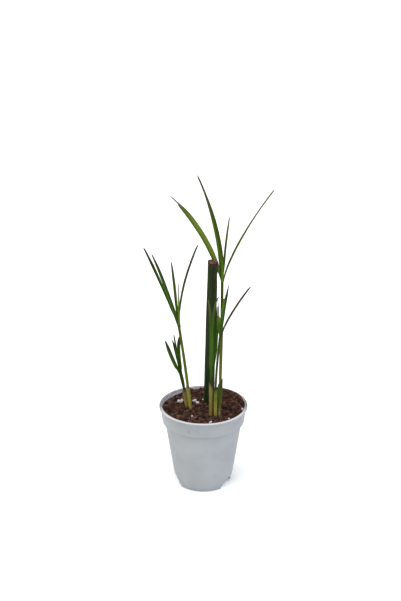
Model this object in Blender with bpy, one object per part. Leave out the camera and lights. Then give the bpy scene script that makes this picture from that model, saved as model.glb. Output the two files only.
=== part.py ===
"""A young umbrella sedge growing in a small round nursery pot.

The pot stands on z = 0 with the middle of its flat base at the origin. +X is the
plant's right and +Y its back. Sizes are in millimetres and angles in degrees, and
the meshes are written in metres. A heading is the direction that something leans
towards, turned from +X towards +Y, and a lean is its angle from upright.
"""

import math
import random
from dataclasses import dataclass

import bmesh
import bpy
from mathutils import Matrix, Vector, noise

MM = 0.001
GAP = 0.3

# The pot: a moulded tapering cup with a collar and a lip round its mouth.
POT_HEIGHT = 76.0
RIM_RADIUS = 40.0
LIP_HEIGHT = 1.8
EDGE_ROUND = 0.5
COLLAR_TOP_RADIUS = 38.5
COLLAR_FOOT_RADIUS = 37.3
COLLAR_FOOT = 60.9
BODY_TOP_RADIUS = 34.9
STEP_RISE = 0.5
BASE_RADIUS = 25.4
FOOT_BAND_HEIGHT = 2.2
FOOT_BAND_STEP = 0.3
FOOT_ROUND = 0.8
WALL = 1.0
FLOOR = 1.2
POT_SECTORS = 60

# Three arched recesses in the foot of the wall let water run out from under the pot.
RECESS_HEADINGS = (-32.0, 84.0, 194.0)
RECESS_HALF_WIDTH = 9.0
RECESS_HEIGHT = 9.5
RECESS_PANEL = 19.5
RECESS_ARCH_STEPS = 10
RECESS_SILL = 0.1
LINING_FOOT = 0.6
CUTTER_REACH = 45.0
CUTTER_DEPTH = 5.0

# Drain holes through the floor, in a ring that leaves the middle whole.
DRAIN_COUNT = 6
DRAIN_RADIUS = 2.5
DRAIN_RING = 12.5
DRAIN_SIDES = 12

# The potting mix fills the pot nearly to the lip. It is heaped a little at the back right and
# has sunk from the wall at the back left.
SOIL_LEVEL = 72.2
SOIL_EDGE_RISE = 1.8
SOIL_HEAP = 1.6
SOIL_HEAP_HEADING = 40.0
SOIL_DIP = 2.2
SOIL_DIP_HEADING = 135.0
SOIL_DIP_SPREAD = 40.0
SOIL_LUMP = 0.7
SOIL_LUMP_SIZE = 7.0
SOIL_RINGS = 7
SOIL_SECTORS = 44
PLANTED_DEPTH = 5.2

# Stems and leaves.
LINE_STEPS = 48
BLADE_STEPS = 14
BLADE_THICKNESS = 0.5
BLADE_THINNING = 0.4
BLADE_FOLD = 22.0
BASE_FOLD = 58.0
BASE_WIDTH = 0.95
FOLD_OPENS = 0.25
ROLL_SETTLES = 0.2
WHORL_RADIUS = 1.25
WHORL_GAP = 0.4
OLD_STEM_SIDES = 16
OLD_STEM_RIB = 0.12
STEM_SIDES = 8
SHEATH_SIDES = 10


@dataclass(frozen=True)
class Growth:
    """How a stem or leaf grows: it leans from lean_base at its start to lean_tip at its end."""

    length: float
    heading: float
    lean_base: float
    lean_tip: float
    bend: float = 1.0


@dataclass(frozen=True)
class Bract:
    """One leaf of a whorl: its growth, its widths at shares of its length, and its roll."""

    name: str
    growth: Growth
    widths: tuple
    roll: float = 0.0


@dataclass(frozen=True)
class Sheath:
    """The sheath round the foot of a shoot: radii at heights along it, and its mouth's slant."""

    radii: tuple
    bore_radius: float
    bore_depth: float
    slant: float
    slant_heading: float


@dataclass(frozen=True)
class Shoot:
    """One shoot: where it stands, its stem, its sheath and its whorl of bracts."""

    name: str
    foot: tuple
    growth: Growth
    stem_radii: tuple
    sheath: Sheath
    bracts: tuple


@dataclass(frozen=True)
class Grain:
    """A grain of perlite lying on the mix."""

    place: tuple
    size: tuple
    turn: float


OLD_STEM_FOOT = (5.0, 10.5)
OLD_STEM_GROWTH = Growth(147.5, 287, 3.0, 5.5)
OLD_STEM_RADII = ((0.0, 4.5), (0.12, 4.7), (0.5, 4.55), (0.8, 4.45), (0.9, 4.3), (1.0, 4.55))

TALL_SHOOT = Shoot(
    name="tall",
    foot=(13.7, -22.6),
    growth=Growth(130.9, 84, 23.0, 0.5),
    stem_radii=((0.2, 1.0), (0.28, 1.12), (0.36, 1.4), (0.6, 1.4), (0.8, 1.22), (1.0, 1.25)),
    sheath=Sheath(
        radii=((0.0, 0.8), (7.0, 1.0), (16.0, 1.3), (22.0, 2.0), (29.0, 2.2), (36.0, 2.0)),
        bore_radius=1.6, bore_depth=13.0, slant=6.0, slant_heading=0.0,
    ),
    bracts=(
        Bract(
            "left", Growth(88.5, 146, 17.5, 53.5, 0.75),
            ((0.15, 4.6), (0.35, 5.6), (0.65, 5.1), (0.86, 4.5), (0.89, 1.6), (1.0, 1.0)), -13,
        ),
        Bract(
            "upright", Growth(104.5, 214, -5, 25.5, 0.6),
            ((0.15, 5.3), (0.3, 5.2), (0.55, 4.5), (0.72, 3.1), (0.83, 2.1), (0.97, 1.5)), 35,
        ),
        Bract(
            "thin", Growth(57.0, 51, 5, 12, 0.9),
            ((0.2, 2.9), (0.5, 3.3), (0.78, 2.8), (0.93, 1.7), (0.97, 1.4)), -14,
        ),
        Bract(
            "right", Growth(99.0, 342, 9, 35, 0.45),
            ((0.15, 3.2), (0.35, 3.4), (0.55, 2.8), (0.72, 2.3), (0.93, 1.9), (0.97, 1.6)), 40,
        ),
    ),
)

LEFT_SHOOT = Shoot(
    name="left",
    foot=(-10.9, -6.0),
    growth=Growth(89.5, 191, 5.3, 8.5),
    stem_radii=((0.14, 0.95), (0.31, 1.1), (0.4, 1.32), (0.6, 1.3), (0.8, 1.18), (1.0, 1.2)),
    sheath=Sheath(
        radii=((0.0, 0.8), (6.0, 1.0), (12.0, 1.55), (19.0, 1.65), (28.0, 1.6)),
        bore_radius=1.42, bore_depth=17.0, slant=3.0, slant_heading=190.0,
    ),
    bracts=(
        Bract(
            "outer", Growth(76.5, 160, 18, 28, 0.55),
            ((0.2, 3.0), (0.4, 3.0), (0.6, 3.3), (0.75, 3.4), (0.85, 2.9), (0.97, 2.2)), -19,
        ),
        Bract(
            "inner", Growth(77.5, 212, 7, 23, 0.3),
            ((0.2, 3.2), (0.4, 3.2), (0.62, 3.3), (0.78, 2.9), (0.93, 1.8), (0.97, 1.2)), 34,
        ),
        Bract(
            "upright", Growth(57.0, 110, 16.5, 24.5, 1.65),
            ((0.2, 2.4), (0.5, 2.7), (0.72, 2.5), (0.83, 2.2), (0.93, 1.6), (0.97, 1.2)), -13,
        ),
        Bract("pale", Growth(46.0, 270, 28, -4, 0.85), ((0.2, 1.5), (0.7, 1.6), (0.9, 1.2))),
        Bract(
            "right", Growth(80.0, 352, -15, 22.5, 0.4),
            ((0.15, 2.6), (0.4, 3.0), (0.7, 3.2), (0.93, 3.2), (0.97, 2.5)), -36,
        ),
    ),
)

SHORT_SHOOT = Shoot(
    name="short",
    foot=(-15.0, 3.0),
    growth=Growth(36.0, 151, 4.0, 15.0),
    stem_radii=((0.34, 0.9), (0.5, 1.05), (0.65, 1.12), (0.75, 1.4), (0.9, 1.6), (1.0, 1.65)),
    sheath=Sheath(
        radii=((0.0, 0.8), (5.0, 1.0), (11.0, 1.6), (17.0, 1.75), (21.0, 1.7)),
        bore_radius=1.45, bore_depth=11.0, slant=2.5, slant_heading=330.0,
    ),
    bracts=(
        Bract(
            "outer", Growth(39.0, 205, 24.5, 14.5, 1.75),
            ((0.1, 3.2), (0.2, 4.2), (0.4, 4.7), (0.65, 4.6), (0.8, 3.8), (0.9, 2.5), (0.97, 1.7)), 38,
        ),
        Bract(
            "inner", Growth(34.5, 155, 7.5, 20, 1.1),
            ((0.2, 3.3), (0.5, 4.1), (0.78, 3.9), (0.88, 2.7), (0.97, 1.4)), -10,
        ),
        Bract(
            "upright", Growth(39.0, 104, 51.5, 37, 1.1),
            ((0.2, 1.8), (0.6, 2.0), (0.83, 1.7), (0.97, 1.2)), 2,
        ),
        Bract(
            "right", Growth(39.5, 30, -8, 19, 3.5),
            ((0.2, 3.0), (0.5, 3.8), (0.75, 3.6), (0.88, 2.7), (0.95, 1.8)), 22,
        ),
    ),
)

MIDDLE_SHOOT = Shoot(
    name="middle",
    foot=(11.0, -20.0),
    growth=Growth(82.5, 234, 4.0, -12.5),
    stem_radii=((0.24, 0.6), (0.41, 0.72), (0.48, 1.0), (0.9, 1.05), (1.0, 1.15)),
    sheath=Sheath(
        radii=((0.0, 1.15), (8.0, 1.4), (20.0, 1.5), (33.0, 1.45)),
        bore_radius=1.05, bore_depth=16.0, slant=1.5, slant_heading=0.0,
    ),
    bracts=(
        Bract(
            "right", Growth(55.0, 354, 1.5, 35.5, 0.3),
            ((0.2, 2.8), (0.35, 3.1), (0.65, 3.1), (0.93, 3.0), (0.97, 2.4)), -46,
        ),
        Bract(
            "upright", Growth(46.5, 51, 7.5, 17.5, 0.75),
            ((0.2, 2.8), (0.5, 3.2), (0.78, 2.7), (0.88, 1.7), (0.97, 0.8)), 8,
        ),
        Bract(
            "blunt", Growth(39.0, 300, 3, 12, 0.8),
            ((0.2, 2.2), (0.6, 3.0), (0.9, 2.5), (0.97, 1.8)),
        ),
        Bract("broad", Growth(22.5, 254, 15, 5), ((0.2, 2.0), (0.4, 3.4), (0.7, 3.8), (0.9, 2.7)), 3),
        Bract("grey", Growth(34.0, 136, 1, 7, 1.6), ((0.3, 1.6), (0.7, 1.9), (0.9, 1.5))),
    ),
)

FRONT_SHOOT = Shoot(
    name="front",
    foot=(6.5, -17.0),
    growth=Growth(41.5, 86, 1.5, 5.0),
    stem_radii=((0.4, 0.75), (0.8, 0.8), (1.0, 1.3)),
    sheath=Sheath(
        radii=((0.0, 1.15), (8.0, 1.5), (20.0, 1.6), (33.0, 1.65)),
        bore_radius=1.3, bore_depth=20.0, slant=5.5, slant_heading=200.0,
    ),
    bracts=(
        Bract(
            "left", Growth(76.9, 210, -1.5, 13.2, 3.8),
            ((0.2, 2.8), (0.5, 3.0), (0.75, 2.8), (0.85, 2.3), (0.93, 1.7)), 28,
        ),
        Bract(
            "right", Growth(82.0, 323, 0.9, 34.4, 6.4),
            ((0.2, 3.0), (0.5, 3.4), (0.72, 3.2), (0.84, 2.5), (0.92, 1.9), (0.97, 1.4)), -31,
        ),
        Bract(
            "inner", Growth(68.0, 45, 6.1, 1.0, 1.45),
            ((0.2, 2.6), (0.45, 3.8), (0.7, 3.9), (0.85, 2.6), (0.95, 1.3)), 4,
        ),
    ),
)

SHOOTS = (TALL_SHOOT, LEFT_SHOOT, SHORT_SHOOT, MIDDLE_SHOOT, FRONT_SHOOT)

PERLITE = (
    Grain((-21.0, 10.0), (2.7, 2.1, 1.9), 25),
    Grain((-8.2, 11.6), (2.0, 1.5, 1.3), 35),
    Grain((-5.2, 7.4), (1.6, 1.4, 1.2), 0),
    Grain((-0.4, 15.0), (0.9, 0.8, 0.7), 60),
    Grain((-10.1, -18.6), (1.0, 0.9, 0.8), 10),
    Grain((-12.6, -22.6), (1.1, 1.0, 0.8), 80),
    Grain((6.4, -33.6), (2.0, 0.9, 1.0), 50),
    Grain((22.8, -26.6), (0.9, 0.8, 0.8), 30),
    Grain((35.0, -9.5), (1.1, 1.0, 0.9), 70),
)
PERLITE_ROUGHNESS = 0.16
PERLITE_LUMPS = 1.3
PERLITE_CLEARANCE = 0.7


def linear(hex_colour):
    """The linear colour of an sRGB hex value."""
    channels = [int(hex_colour[i : i + 2], 16) / 255 for i in (0, 2, 4)]
    decoded = [c / 12.92 if c <= 0.04045 else ((c + 0.055) / 1.055) ** 2.4 for c in channels]
    return (*decoded, 1.0)


def finish(name, hex_colour, roughness, metallic=0.0):
    """A plain material with the part's colour and gloss."""
    material = bpy.data.materials.new(name)
    material.use_nodes = True
    shader = material.node_tree.nodes["Principled BSDF"]
    shader.inputs["Base Color"].default_value = linear(hex_colour)
    shader.inputs["Roughness"].default_value = roughness
    shader.inputs["Metallic"].default_value = metallic
    return material


def new_part(name, bm, material=None, crease=35.0):
    """Turns a bmesh into a named object, shaded smooth up to the crease angle."""
    bmesh.ops.recalc_face_normals(bm, faces=bm.faces)
    mesh = bpy.data.meshes.new(name)
    bm.to_mesh(mesh)
    bm.free()
    mesh.shade_smooth()
    mesh.set_sharp_from_angle(angle=math.radians(crease))
    part = bpy.data.objects.new(name, mesh)
    if material is not None:
        mesh.materials.append(material)
    bpy.context.collection.objects.link(part)
    return part


def cutter(name, bm):
    """A guide that shapes another part and is not a part itself."""
    guide = new_part(name, bm)
    guide.hide_render = True
    guide.display_type = "WIRE"
    return guide


def combine(part, guide, operation):
    """Joins a guide to a part or cuts it out of it."""
    modifier = part.modifiers.new(guide.name, "BOOLEAN")
    modifier.operation = operation
    modifier.object = guide


def turned(outline, sectors):
    """A body of revolution round Z, from an outline of (radius, z) that ends on the axis."""
    bm = bmesh.new()
    corners = [bm.verts.new((radius * MM, 0.0, z * MM)) for radius, z in outline]
    sides = [bm.edges.new(pair) for pair in zip(corners, corners[1:])]
    bmesh.ops.spin(
        bm, geom=corners + sides, cent=(0, 0, 0), axis=(0, 0, 1), angle=math.tau,
        steps=sectors, use_duplicate=False, use_merge=True,
    )
    bmesh.ops.remove_doubles(bm, verts=bm.verts, dist=1e-6)
    return bm


def loft(bm, rings, tip=None):
    """Skins closed rings of points in order, capping the first ring and the last ring or tip."""
    layers = [[bm.verts.new(point * MM) for point in ring] for ring in rings]
    for lower, upper in zip(layers, layers[1:]):
        for i in range(len(lower)):
            j = (i + 1) % len(lower)
            bm.faces.new((lower[i], lower[j], upper[j], upper[i]))
    bm.faces.new(reversed(layers[0]))
    last = layers[-1]
    if tip is None:
        bm.faces.new(last)
        return
    point = bm.verts.new(tip * MM)
    for i in range(len(last)):
        bm.faces.new((last[i], last[(i + 1) % len(last)], point))


class Line:
    """The centre line of a stem or leaf, sampled by its share t of the length."""

    def __init__(self, start, growth):
        self.growth = growth
        self.points = [Vector(start)]
        step = growth.length / LINE_STEPS
        for i in range(LINE_STEPS):
            along = self.frame_at((i + 0.5) / LINE_STEPS)[0]
            self.points.append(self.points[-1] + step * along)

    def frame_at(self, t):
        """Directions at t: along the line, across it, and towards its inner side."""
        growth = self.growth
        swing = max(t, 0.0) ** growth.bend
        lean = math.radians(growth.lean_base + (growth.lean_tip - growth.lean_base) * swing)
        heading = math.radians(growth.heading)
        outward = Vector((math.cos(heading), math.sin(heading), 0.0))
        along = math.sin(lean) * outward + Vector((0, 0, math.cos(lean)))
        across = Vector((-math.sin(heading), math.cos(heading), 0.0))
        return along, across, along.cross(across)

    def point_at(self, t):
        """The point at t, carried on straight past either end."""
        place = min(max(t, 0.0), 1.0) * LINE_STEPS
        i = min(int(place), LINE_STEPS - 1)
        point = self.points[i].lerp(self.points[i + 1], place - i)
        beyond = t - min(max(t, 0.0), 1.0)
        return point + beyond * self.growth.length * self.frame_at(t)[0]

    def ring(self, t, radius, sides, ribs=0.0, slant=0.0, slant_heading=0.0):
        """A round ring across the line at t, its rim drawn up on one side by a slant."""
        along, across, inner = self.frame_at(t)
        centre = self.point_at(t)
        ring = []
        for i in range(sides):
            angle = math.tau * i / sides
            spoke = math.cos(angle) * across + math.sin(angle) * inner
            reach = radius + ribs * (-1) ** i
            bearing = math.atan2(spoke.y, spoke.x) - math.radians(slant_heading)
            rise = slant * 0.5 * (1 + math.cos(bearing))
            ring.append(centre + reach * spoke + rise * along)
        return ring


def body_radius(z):
    """The outer radius of the pot's body below its collar."""
    return BASE_RADIUS + (BODY_TOP_RADIUS - BASE_RADIUS) * z / (COLLAR_FOOT - STEP_RISE)


def inner_body_radius(z):
    """The inner radius of the pot's body below its ledge."""
    return body_radius(z) - WALL


def to_mid_wall(y, z):
    """How far out the middle of the body's wall is at a point beside a recess's axis."""
    middle = body_radius(z) - WALL / 2
    return math.sqrt(middle * middle - y * y)


def far_out(y, z):
    """A reach well past the pot, for the shapes that cut right through its wall."""
    return CUTTER_REACH


def arch_prism(bm, half_width, height, foot, inner_reach, outer_reach, heading):
    """An arched prism that points outwards from the pot's axis, as far as outer_reach(y, z)."""
    turn = Matrix.Rotation(math.radians(heading), 3, "Z")
    section = [(half_width, foot)]
    for i in range(RECESS_ARCH_STEPS + 1):
        angle = math.pi * i / RECESS_ARCH_STEPS
        rise = max(foot + RECESS_SILL, height * math.sin(angle))
        section.append((half_width * math.cos(angle), rise))
    section.append((-half_width, foot))
    near = [turn @ Vector((inner_reach, y, z)) for y, z in section]
    far = [turn @ Vector((outer_reach(y, z), y, z)) for y, z in section]
    loft(bm, [near, far])


def recess_shapes(margin, inner_reach, foot, outer_reach):
    """The three recesses, each made larger all round by a margin."""
    bm = bmesh.new()
    for heading in RECESS_HEADINGS:
        arch_prism(
            bm, RECESS_HALF_WIDTH + margin, RECESS_HEIGHT + margin, foot, inner_reach,
            outer_reach, heading,
        )
    return bm


def drain_shapes():
    """The pegs that cut the drain holes in the floor."""
    bm = bmesh.new()
    for i in range(DRAIN_COUNT):
        angle = math.tau * i / DRAIN_COUNT
        spoke = Vector((math.cos(angle), math.sin(angle), 0.0))
        centre = (DRAIN_RING * spoke + Vector((0, 0, FLOOR / 2))) * MM
        bmesh.ops.create_cone(
            bm, cap_ends=True, segments=DRAIN_SIDES, radius1=DRAIN_RADIUS * MM,
            radius2=DRAIN_RADIUS * MM, depth=3 * FLOOR * MM, matrix=Matrix.Translation(centre),
        )
    return bm


def make_pot():
    """The pot: lip, collar, tapering body, recessed foot and floor, in one moulding."""
    lip_foot = POT_HEIGHT - LIP_HEIGHT
    step_top = COLLAR_FOOT + STEP_RISE
    outside = [
        (0.0, 0.0),
        (BASE_RADIUS - FOOT_BAND_STEP - FOOT_ROUND, 0.0),
        (BASE_RADIUS - FOOT_BAND_STEP, FOOT_ROUND),
        (BASE_RADIUS - FOOT_BAND_STEP + EDGE_ROUND / 2, FOOT_BAND_HEIGHT),
        (body_radius(FOOT_BAND_HEIGHT + EDGE_ROUND), FOOT_BAND_HEIGHT + EDGE_ROUND),
        (BODY_TOP_RADIUS, COLLAR_FOOT - STEP_RISE),
        (COLLAR_FOOT_RADIUS - EDGE_ROUND, COLLAR_FOOT),
        (COLLAR_FOOT_RADIUS, step_top),
        (COLLAR_TOP_RADIUS, lip_foot - EDGE_ROUND),
        (RIM_RADIUS - EDGE_ROUND, lip_foot),
        (RIM_RADIUS, lip_foot + EDGE_ROUND),
        (RIM_RADIUS, POT_HEIGHT - EDGE_ROUND),
        (RIM_RADIUS - EDGE_ROUND, POT_HEIGHT),
    ]
    inside = [
        (COLLAR_TOP_RADIUS - WALL + EDGE_ROUND, POT_HEIGHT),
        (COLLAR_TOP_RADIUS - WALL, POT_HEIGHT - EDGE_ROUND),
        (COLLAR_FOOT_RADIUS - WALL, step_top + EDGE_ROUND),
        (BODY_TOP_RADIUS - WALL, COLLAR_FOOT - STEP_RISE),
        (inner_body_radius(FLOOR), FLOOR),
        (0.0, FLOOR),
    ]
    material = finish("pot_plastic", "b2b7bc", 0.45)
    pot = new_part("pot", turned(outside + inside, POT_SECTORS), material, crease=40.0)

    lining = recess_shapes(WALL, RECESS_PANEL - WALL, LINING_FOOT, to_mid_wall)
    combine(pot, cutter("recess_linings", lining), "UNION")
    hollow = recess_shapes(0.0, RECESS_PANEL, -CUTTER_DEPTH, far_out)
    combine(pot, cutter("recess_hollows", hollow), "DIFFERENCE")
    combine(pot, cutter("drain_pegs", drain_shapes()), "DIFFERENCE")


def soil_top(x, y):
    """The height of the mix's surface, with its heap, its dip and its lumps."""
    reach = math.hypot(x, y) / COLLAR_TOP_RADIUS
    bearing = math.degrees(math.atan2(y, x))
    heap = SOIL_HEAP * math.cos(math.radians(bearing - SOIL_HEAP_HEADING))
    from_dip = (bearing - SOIL_DIP_HEADING + 180) % 360 - 180
    dip = SOIL_DIP * math.exp(-((from_dip / SOIL_DIP_SPREAD) ** 2))
    lump = SOIL_LUMP * noise.noise(Vector((x, y, 0.0)) / SOIL_LUMP_SIZE)
    return SOIL_LEVEL + (SOIL_EDGE_RISE + heap - dip) * reach * reach + lump


def make_potting_mix(sockets):
    """The ball of mix: it fills the pot with a small gap and has a socket for each shoot."""
    foot = FLOOR + GAP
    edge_radius = COLLAR_TOP_RADIUS - WALL - 2 * GAP
    ledge = COLLAR_FOOT + STEP_RISE + EDGE_ROUND
    outline = [
        (0.0, foot),
        (inner_body_radius(foot) - GAP, foot),
        (BODY_TOP_RADIUS - WALL - GAP, COLLAR_FOOT - STEP_RISE),
        (COLLAR_FOOT_RADIUS - WALL - GAP, ledge + GAP),
    ]
    for i in range(SOIL_RINGS + 1):
        share = 1 - i / SOIL_RINGS
        outline.append((edge_radius * share, SOIL_LEVEL))
    bm = turned(outline, SOIL_SECTORS)
    for vert in bm.verts:
        if vert.co.z > (ledge + 2 * GAP) * MM:
            vert.co.z = soil_top(vert.co.x / MM, vert.co.y / MM) * MM
    mix = new_part("potting_mix", bm, finish("coir_mix", "46322d", 0.95), crease=60.0)

    pockets = recess_shapes(WALL + GAP, RECESS_PANEL - WALL - GAP, -CUTTER_DEPTH, far_out)
    combine(mix, cutter("recess_pockets", pockets), "DIFFERENCE")
    combine(mix, cutter("planting_holes", sockets), "DIFFERENCE")


def foot_point(place):
    """Where a shoot starts, down in the mix."""
    return (*place, SOIL_LEVEL - PLANTED_DEPTH)


def add_socket(sockets, line, radii, sides):
    """Adds the hole in the mix that a planted piece stands in."""
    length = line.growth.length
    steps = [(distance, radius) for distance, radius in radii if distance <= 3 * PLANTED_DEPTH]
    widest = max(radius for distance, radius in steps)
    rings = [
        line.ring(-GAP / length, steps[0][1] + GAP, sides),
        line.ring(PLANTED_DEPTH / length, widest + GAP, sides),
        line.ring(3 * PLANTED_DEPTH / length, widest + GAP, sides),
    ]
    loft(sockets, rings)


def make_old_stem(sockets):
    """The thick old stem, cut off flat across its top."""
    line = Line(foot_point(OLD_STEM_FOOT), OLD_STEM_GROWTH)
    bm = bmesh.new()
    rings = [line.ring(t, radius, OLD_STEM_SIDES, OLD_STEM_RIB) for t, radius in OLD_STEM_RADII]
    loft(bm, rings)
    new_part("old_stem", bm, finish("old_stem_skin", "24301f", 0.5), crease=30.0)
    foot_radius = OLD_STEM_RADII[1][1] + OLD_STEM_RIB
    add_socket(sockets, line, ((0.0, foot_radius),), OLD_STEM_SIDES)


def make_sheath(shoot, line, sockets):
    """The sheath: a tapering cup round the foot of the stem, its mouth drawn to a point."""
    sheath = shoot.sheath
    length = shoot.growth.length
    top, top_radius = sheath.radii[-1]
    rings = [
        line.ring(distance / length, radius, SHEATH_SIDES)
        for distance, radius in sheath.radii[:-1]
    ]
    slant = (sheath.slant, sheath.slant_heading)
    rings.append(line.ring(top / length, top_radius, SHEATH_SIDES, 0.0, *slant))
    rings.append(line.ring(top / length, sheath.bore_radius, SHEATH_SIDES, 0.0, *slant))
    rings.append(line.ring((top - sheath.bore_depth) / length, sheath.bore_radius, SHEATH_SIDES))
    bm = bmesh.new()
    loft(bm, rings)
    new_part(f"{shoot.name}_sheath", bm, finish(f"{shoot.name}_sheath_skin", "8c8742", 0.5))
    add_socket(sockets, line, sheath.radii, SHEATH_SIDES)


def make_stem(shoot, line):
    """The stem, from inside its sheath up to the node that carries the whorl."""
    rings = [line.ring(t, radius, STEM_SIDES) for t, radius in shoot.stem_radii]
    bm = bmesh.new()
    loft(bm, rings)
    new_part(f"{shoot.name}_stem", bm, finish(f"{shoot.name}_stem_skin", "6b6f3a", 0.45))


def blade_width(bract, t):
    """The width at t, straight between the bract's stops. It starts narrow and ends in nothing."""
    stops = ((0.0, BASE_WIDTH), *bract.widths, (1.0, 0.0))
    for (before, narrow), (after, wide) in zip(stops, stops[1:]):
        if t <= after:
            return narrow + (wide - narrow) * (t - before) / max(after - before, 1e-6)
    return 0.0


def make_bract(shoot_name, bract, node):
    """A bract: a long keeled blade that opens from a folded base to a flat V and ends in a point."""
    heading = math.radians(bract.growth.heading)
    offset = Vector((math.cos(heading), math.sin(heading), 0.0)) * WHORL_RADIUS
    line = Line(node + offset + Vector((0, 0, WHORL_GAP)), bract.growth)
    rings = []
    for i in range(BLADE_STEPS):
        t = i / BLADE_STEPS
        along, across, inner = line.frame_at(t)
        roll = Matrix.Rotation(math.radians(bract.roll * min(1.0, t / ROLL_SETTLES)), 3, along)
        across = roll @ across
        inner = roll @ inner
        opened = min(1.0, t / FOLD_OPENS)
        fold = math.radians(BASE_FOLD + (BLADE_FOLD - BASE_FOLD) * opened)
        half = blade_width(bract, t) / 2
        edge_out = half * math.cos(fold) * across
        edge_up = half * math.sin(fold) * inner
        thick = BLADE_THICKNESS * (1 - BLADE_THINNING * t) / 2
        centre = line.point_at(t)
        rings.append([
            centre + edge_out + edge_up,
            centre - thick * inner,
            centre - edge_out + edge_up,
            centre + thick * inner,
        ])
    bm = bmesh.new()
    loft(bm, rings, tip=line.point_at(1.0))
    name = f"{shoot_name}_bract_{bract.name}"
    new_part(name, bm, finish(f"{name}_blade", "4a6422", 0.45), crease=25.0)


def make_shoot(shoot, sockets):
    """A whole shoot: sheath, stem and bracts."""
    line = Line(foot_point(shoot.foot), shoot.growth)
    make_sheath(shoot, line, sockets)
    make_stem(shoot, line)
    node = line.point_at(1.0)
    for bract in shoot.bracts:
        make_bract(shoot.name, bract, node)


def make_perlite():
    """The white grains, each lying clear of the mix below it."""
    rng = random.Random(8)
    for number, grain in enumerate(PERLITE, start=1):
        bm = bmesh.new()
        bmesh.ops.create_icosphere(bm, subdivisions=2, radius=1.0)
        shift = Vector([rng.uniform(0, 50) for axis in range(3)])
        for vert in bm.verts:
            vert.co *= 1 + PERLITE_ROUGHNESS * noise.noise(vert.co * PERLITE_LUMPS + shift)
        x, y = grain.place
        reach = max(grain.size[:2])
        ground = max(
            soil_top(x + reach * math.cos(a), y + reach * math.sin(a))
            for a in (math.tau * k / 8 for k in range(8))
        )
        lowest = min(vert.co.z for vert in bm.verts) * grain.size[2]
        height = max(ground, soil_top(x, y)) + PERLITE_CLEARANCE - lowest
        turn = Matrix.Rotation(math.radians(grain.turn), 4, "Z")
        scale = Matrix.Diagonal((*[side * MM for side in grain.size], 1.0))
        place = Matrix.Translation(Vector((x, y, height)) * MM)
        bmesh.ops.transform(bm, matrix=place @ turn @ scale, verts=bm.verts)
        white = finish(f"perlite_{number}_white", "dcd2d4", 0.85)
        new_part(f"perlite_{number}", bm, white, crease=50.0)


def clear_scene():
    """Removes what the new file starts with."""
    for item in list(bpy.data.objects):
        bpy.data.objects.remove(item, do_unlink=True)


def main():
    clear_scene()
    sockets = bmesh.new()
    make_pot()
    make_old_stem(sockets)
    for shoot in SHOOTS:
        make_shoot(shoot, sockets)
    make_potting_mix(sockets)
    make_perlite()


main()
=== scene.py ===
"""The looks of a young umbrella sedge in its nursery pot.

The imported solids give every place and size. This script stands finely made stems, leaves,
grains and a finely turned pot in for them, lays a loose crust over the solid potting mix, and
sets up a plain studio. Sizes are in millimetres and angles in degrees, and the meshes are
written in metres. A heading is the direction that something leans towards, turned from +X
towards +Y, and a lean is its angle from upright.
"""

import logging
import math
import random
from collections.abc import Callable, Iterable, Iterator, Sequence
from dataclasses import dataclass, field
from enum import Enum
from functools import cache, cached_property

import bmesh
import bpy
from mathutils import Matrix, Vector, noise


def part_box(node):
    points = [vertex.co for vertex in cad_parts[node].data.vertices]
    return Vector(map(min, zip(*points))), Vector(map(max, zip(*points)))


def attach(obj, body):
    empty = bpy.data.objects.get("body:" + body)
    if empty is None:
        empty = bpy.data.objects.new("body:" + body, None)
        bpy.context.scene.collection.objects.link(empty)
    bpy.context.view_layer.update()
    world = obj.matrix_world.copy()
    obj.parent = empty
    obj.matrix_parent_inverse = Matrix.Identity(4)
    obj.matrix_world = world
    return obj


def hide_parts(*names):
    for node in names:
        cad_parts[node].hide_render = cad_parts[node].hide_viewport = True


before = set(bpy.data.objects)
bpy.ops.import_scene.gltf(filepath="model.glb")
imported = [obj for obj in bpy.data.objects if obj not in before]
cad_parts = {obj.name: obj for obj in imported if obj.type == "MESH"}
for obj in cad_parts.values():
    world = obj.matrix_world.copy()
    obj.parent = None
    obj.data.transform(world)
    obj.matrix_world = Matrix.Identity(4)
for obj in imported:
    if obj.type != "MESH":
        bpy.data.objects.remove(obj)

LOG = logging.getLogger("sedge")
MM = 0.001
BODY = "root"
WHITE = "ffffff"
WANDER_PLACES = (18.3, 52.9, 84.1)

Profile = Sequence[tuple[float, float]]
Stops = Sequence[tuple[float, str]]
Socket = bpy.types.NodeSocket
Material = bpy.types.Material
Piece = bpy.types.Object
Colour = tuple[float, float, float, float]


def linear(hex_colour: str) -> Colour:
    """Turns an sRGB hex colour to linear.

    Args:
        hex_colour: six hex digits.

    Returns:
        Red, green, blue and full alpha.
    """
    channels = [int(hex_colour[i : i + 2], 16) / 255 for i in (0, 2, 4)]
    decoded = [c / 12.92 if c <= 0.04045 else ((c + 0.055) / 1.055) ** 2.4 for c in channels]
    return (*decoded, 1.0)


def per(millimetres: float) -> float:
    """The texture scale, in cells per metre, of a pattern whose cell has this real size."""
    return 1.0 / (millimetres * MM)


def ease(x: float) -> float:
    """A smooth step from 0 to 1 as x goes from 0 to 1."""
    x = min(max(x, 0.0), 1.0)
    return x * x * (3.0 - 2.0 * x)


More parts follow.
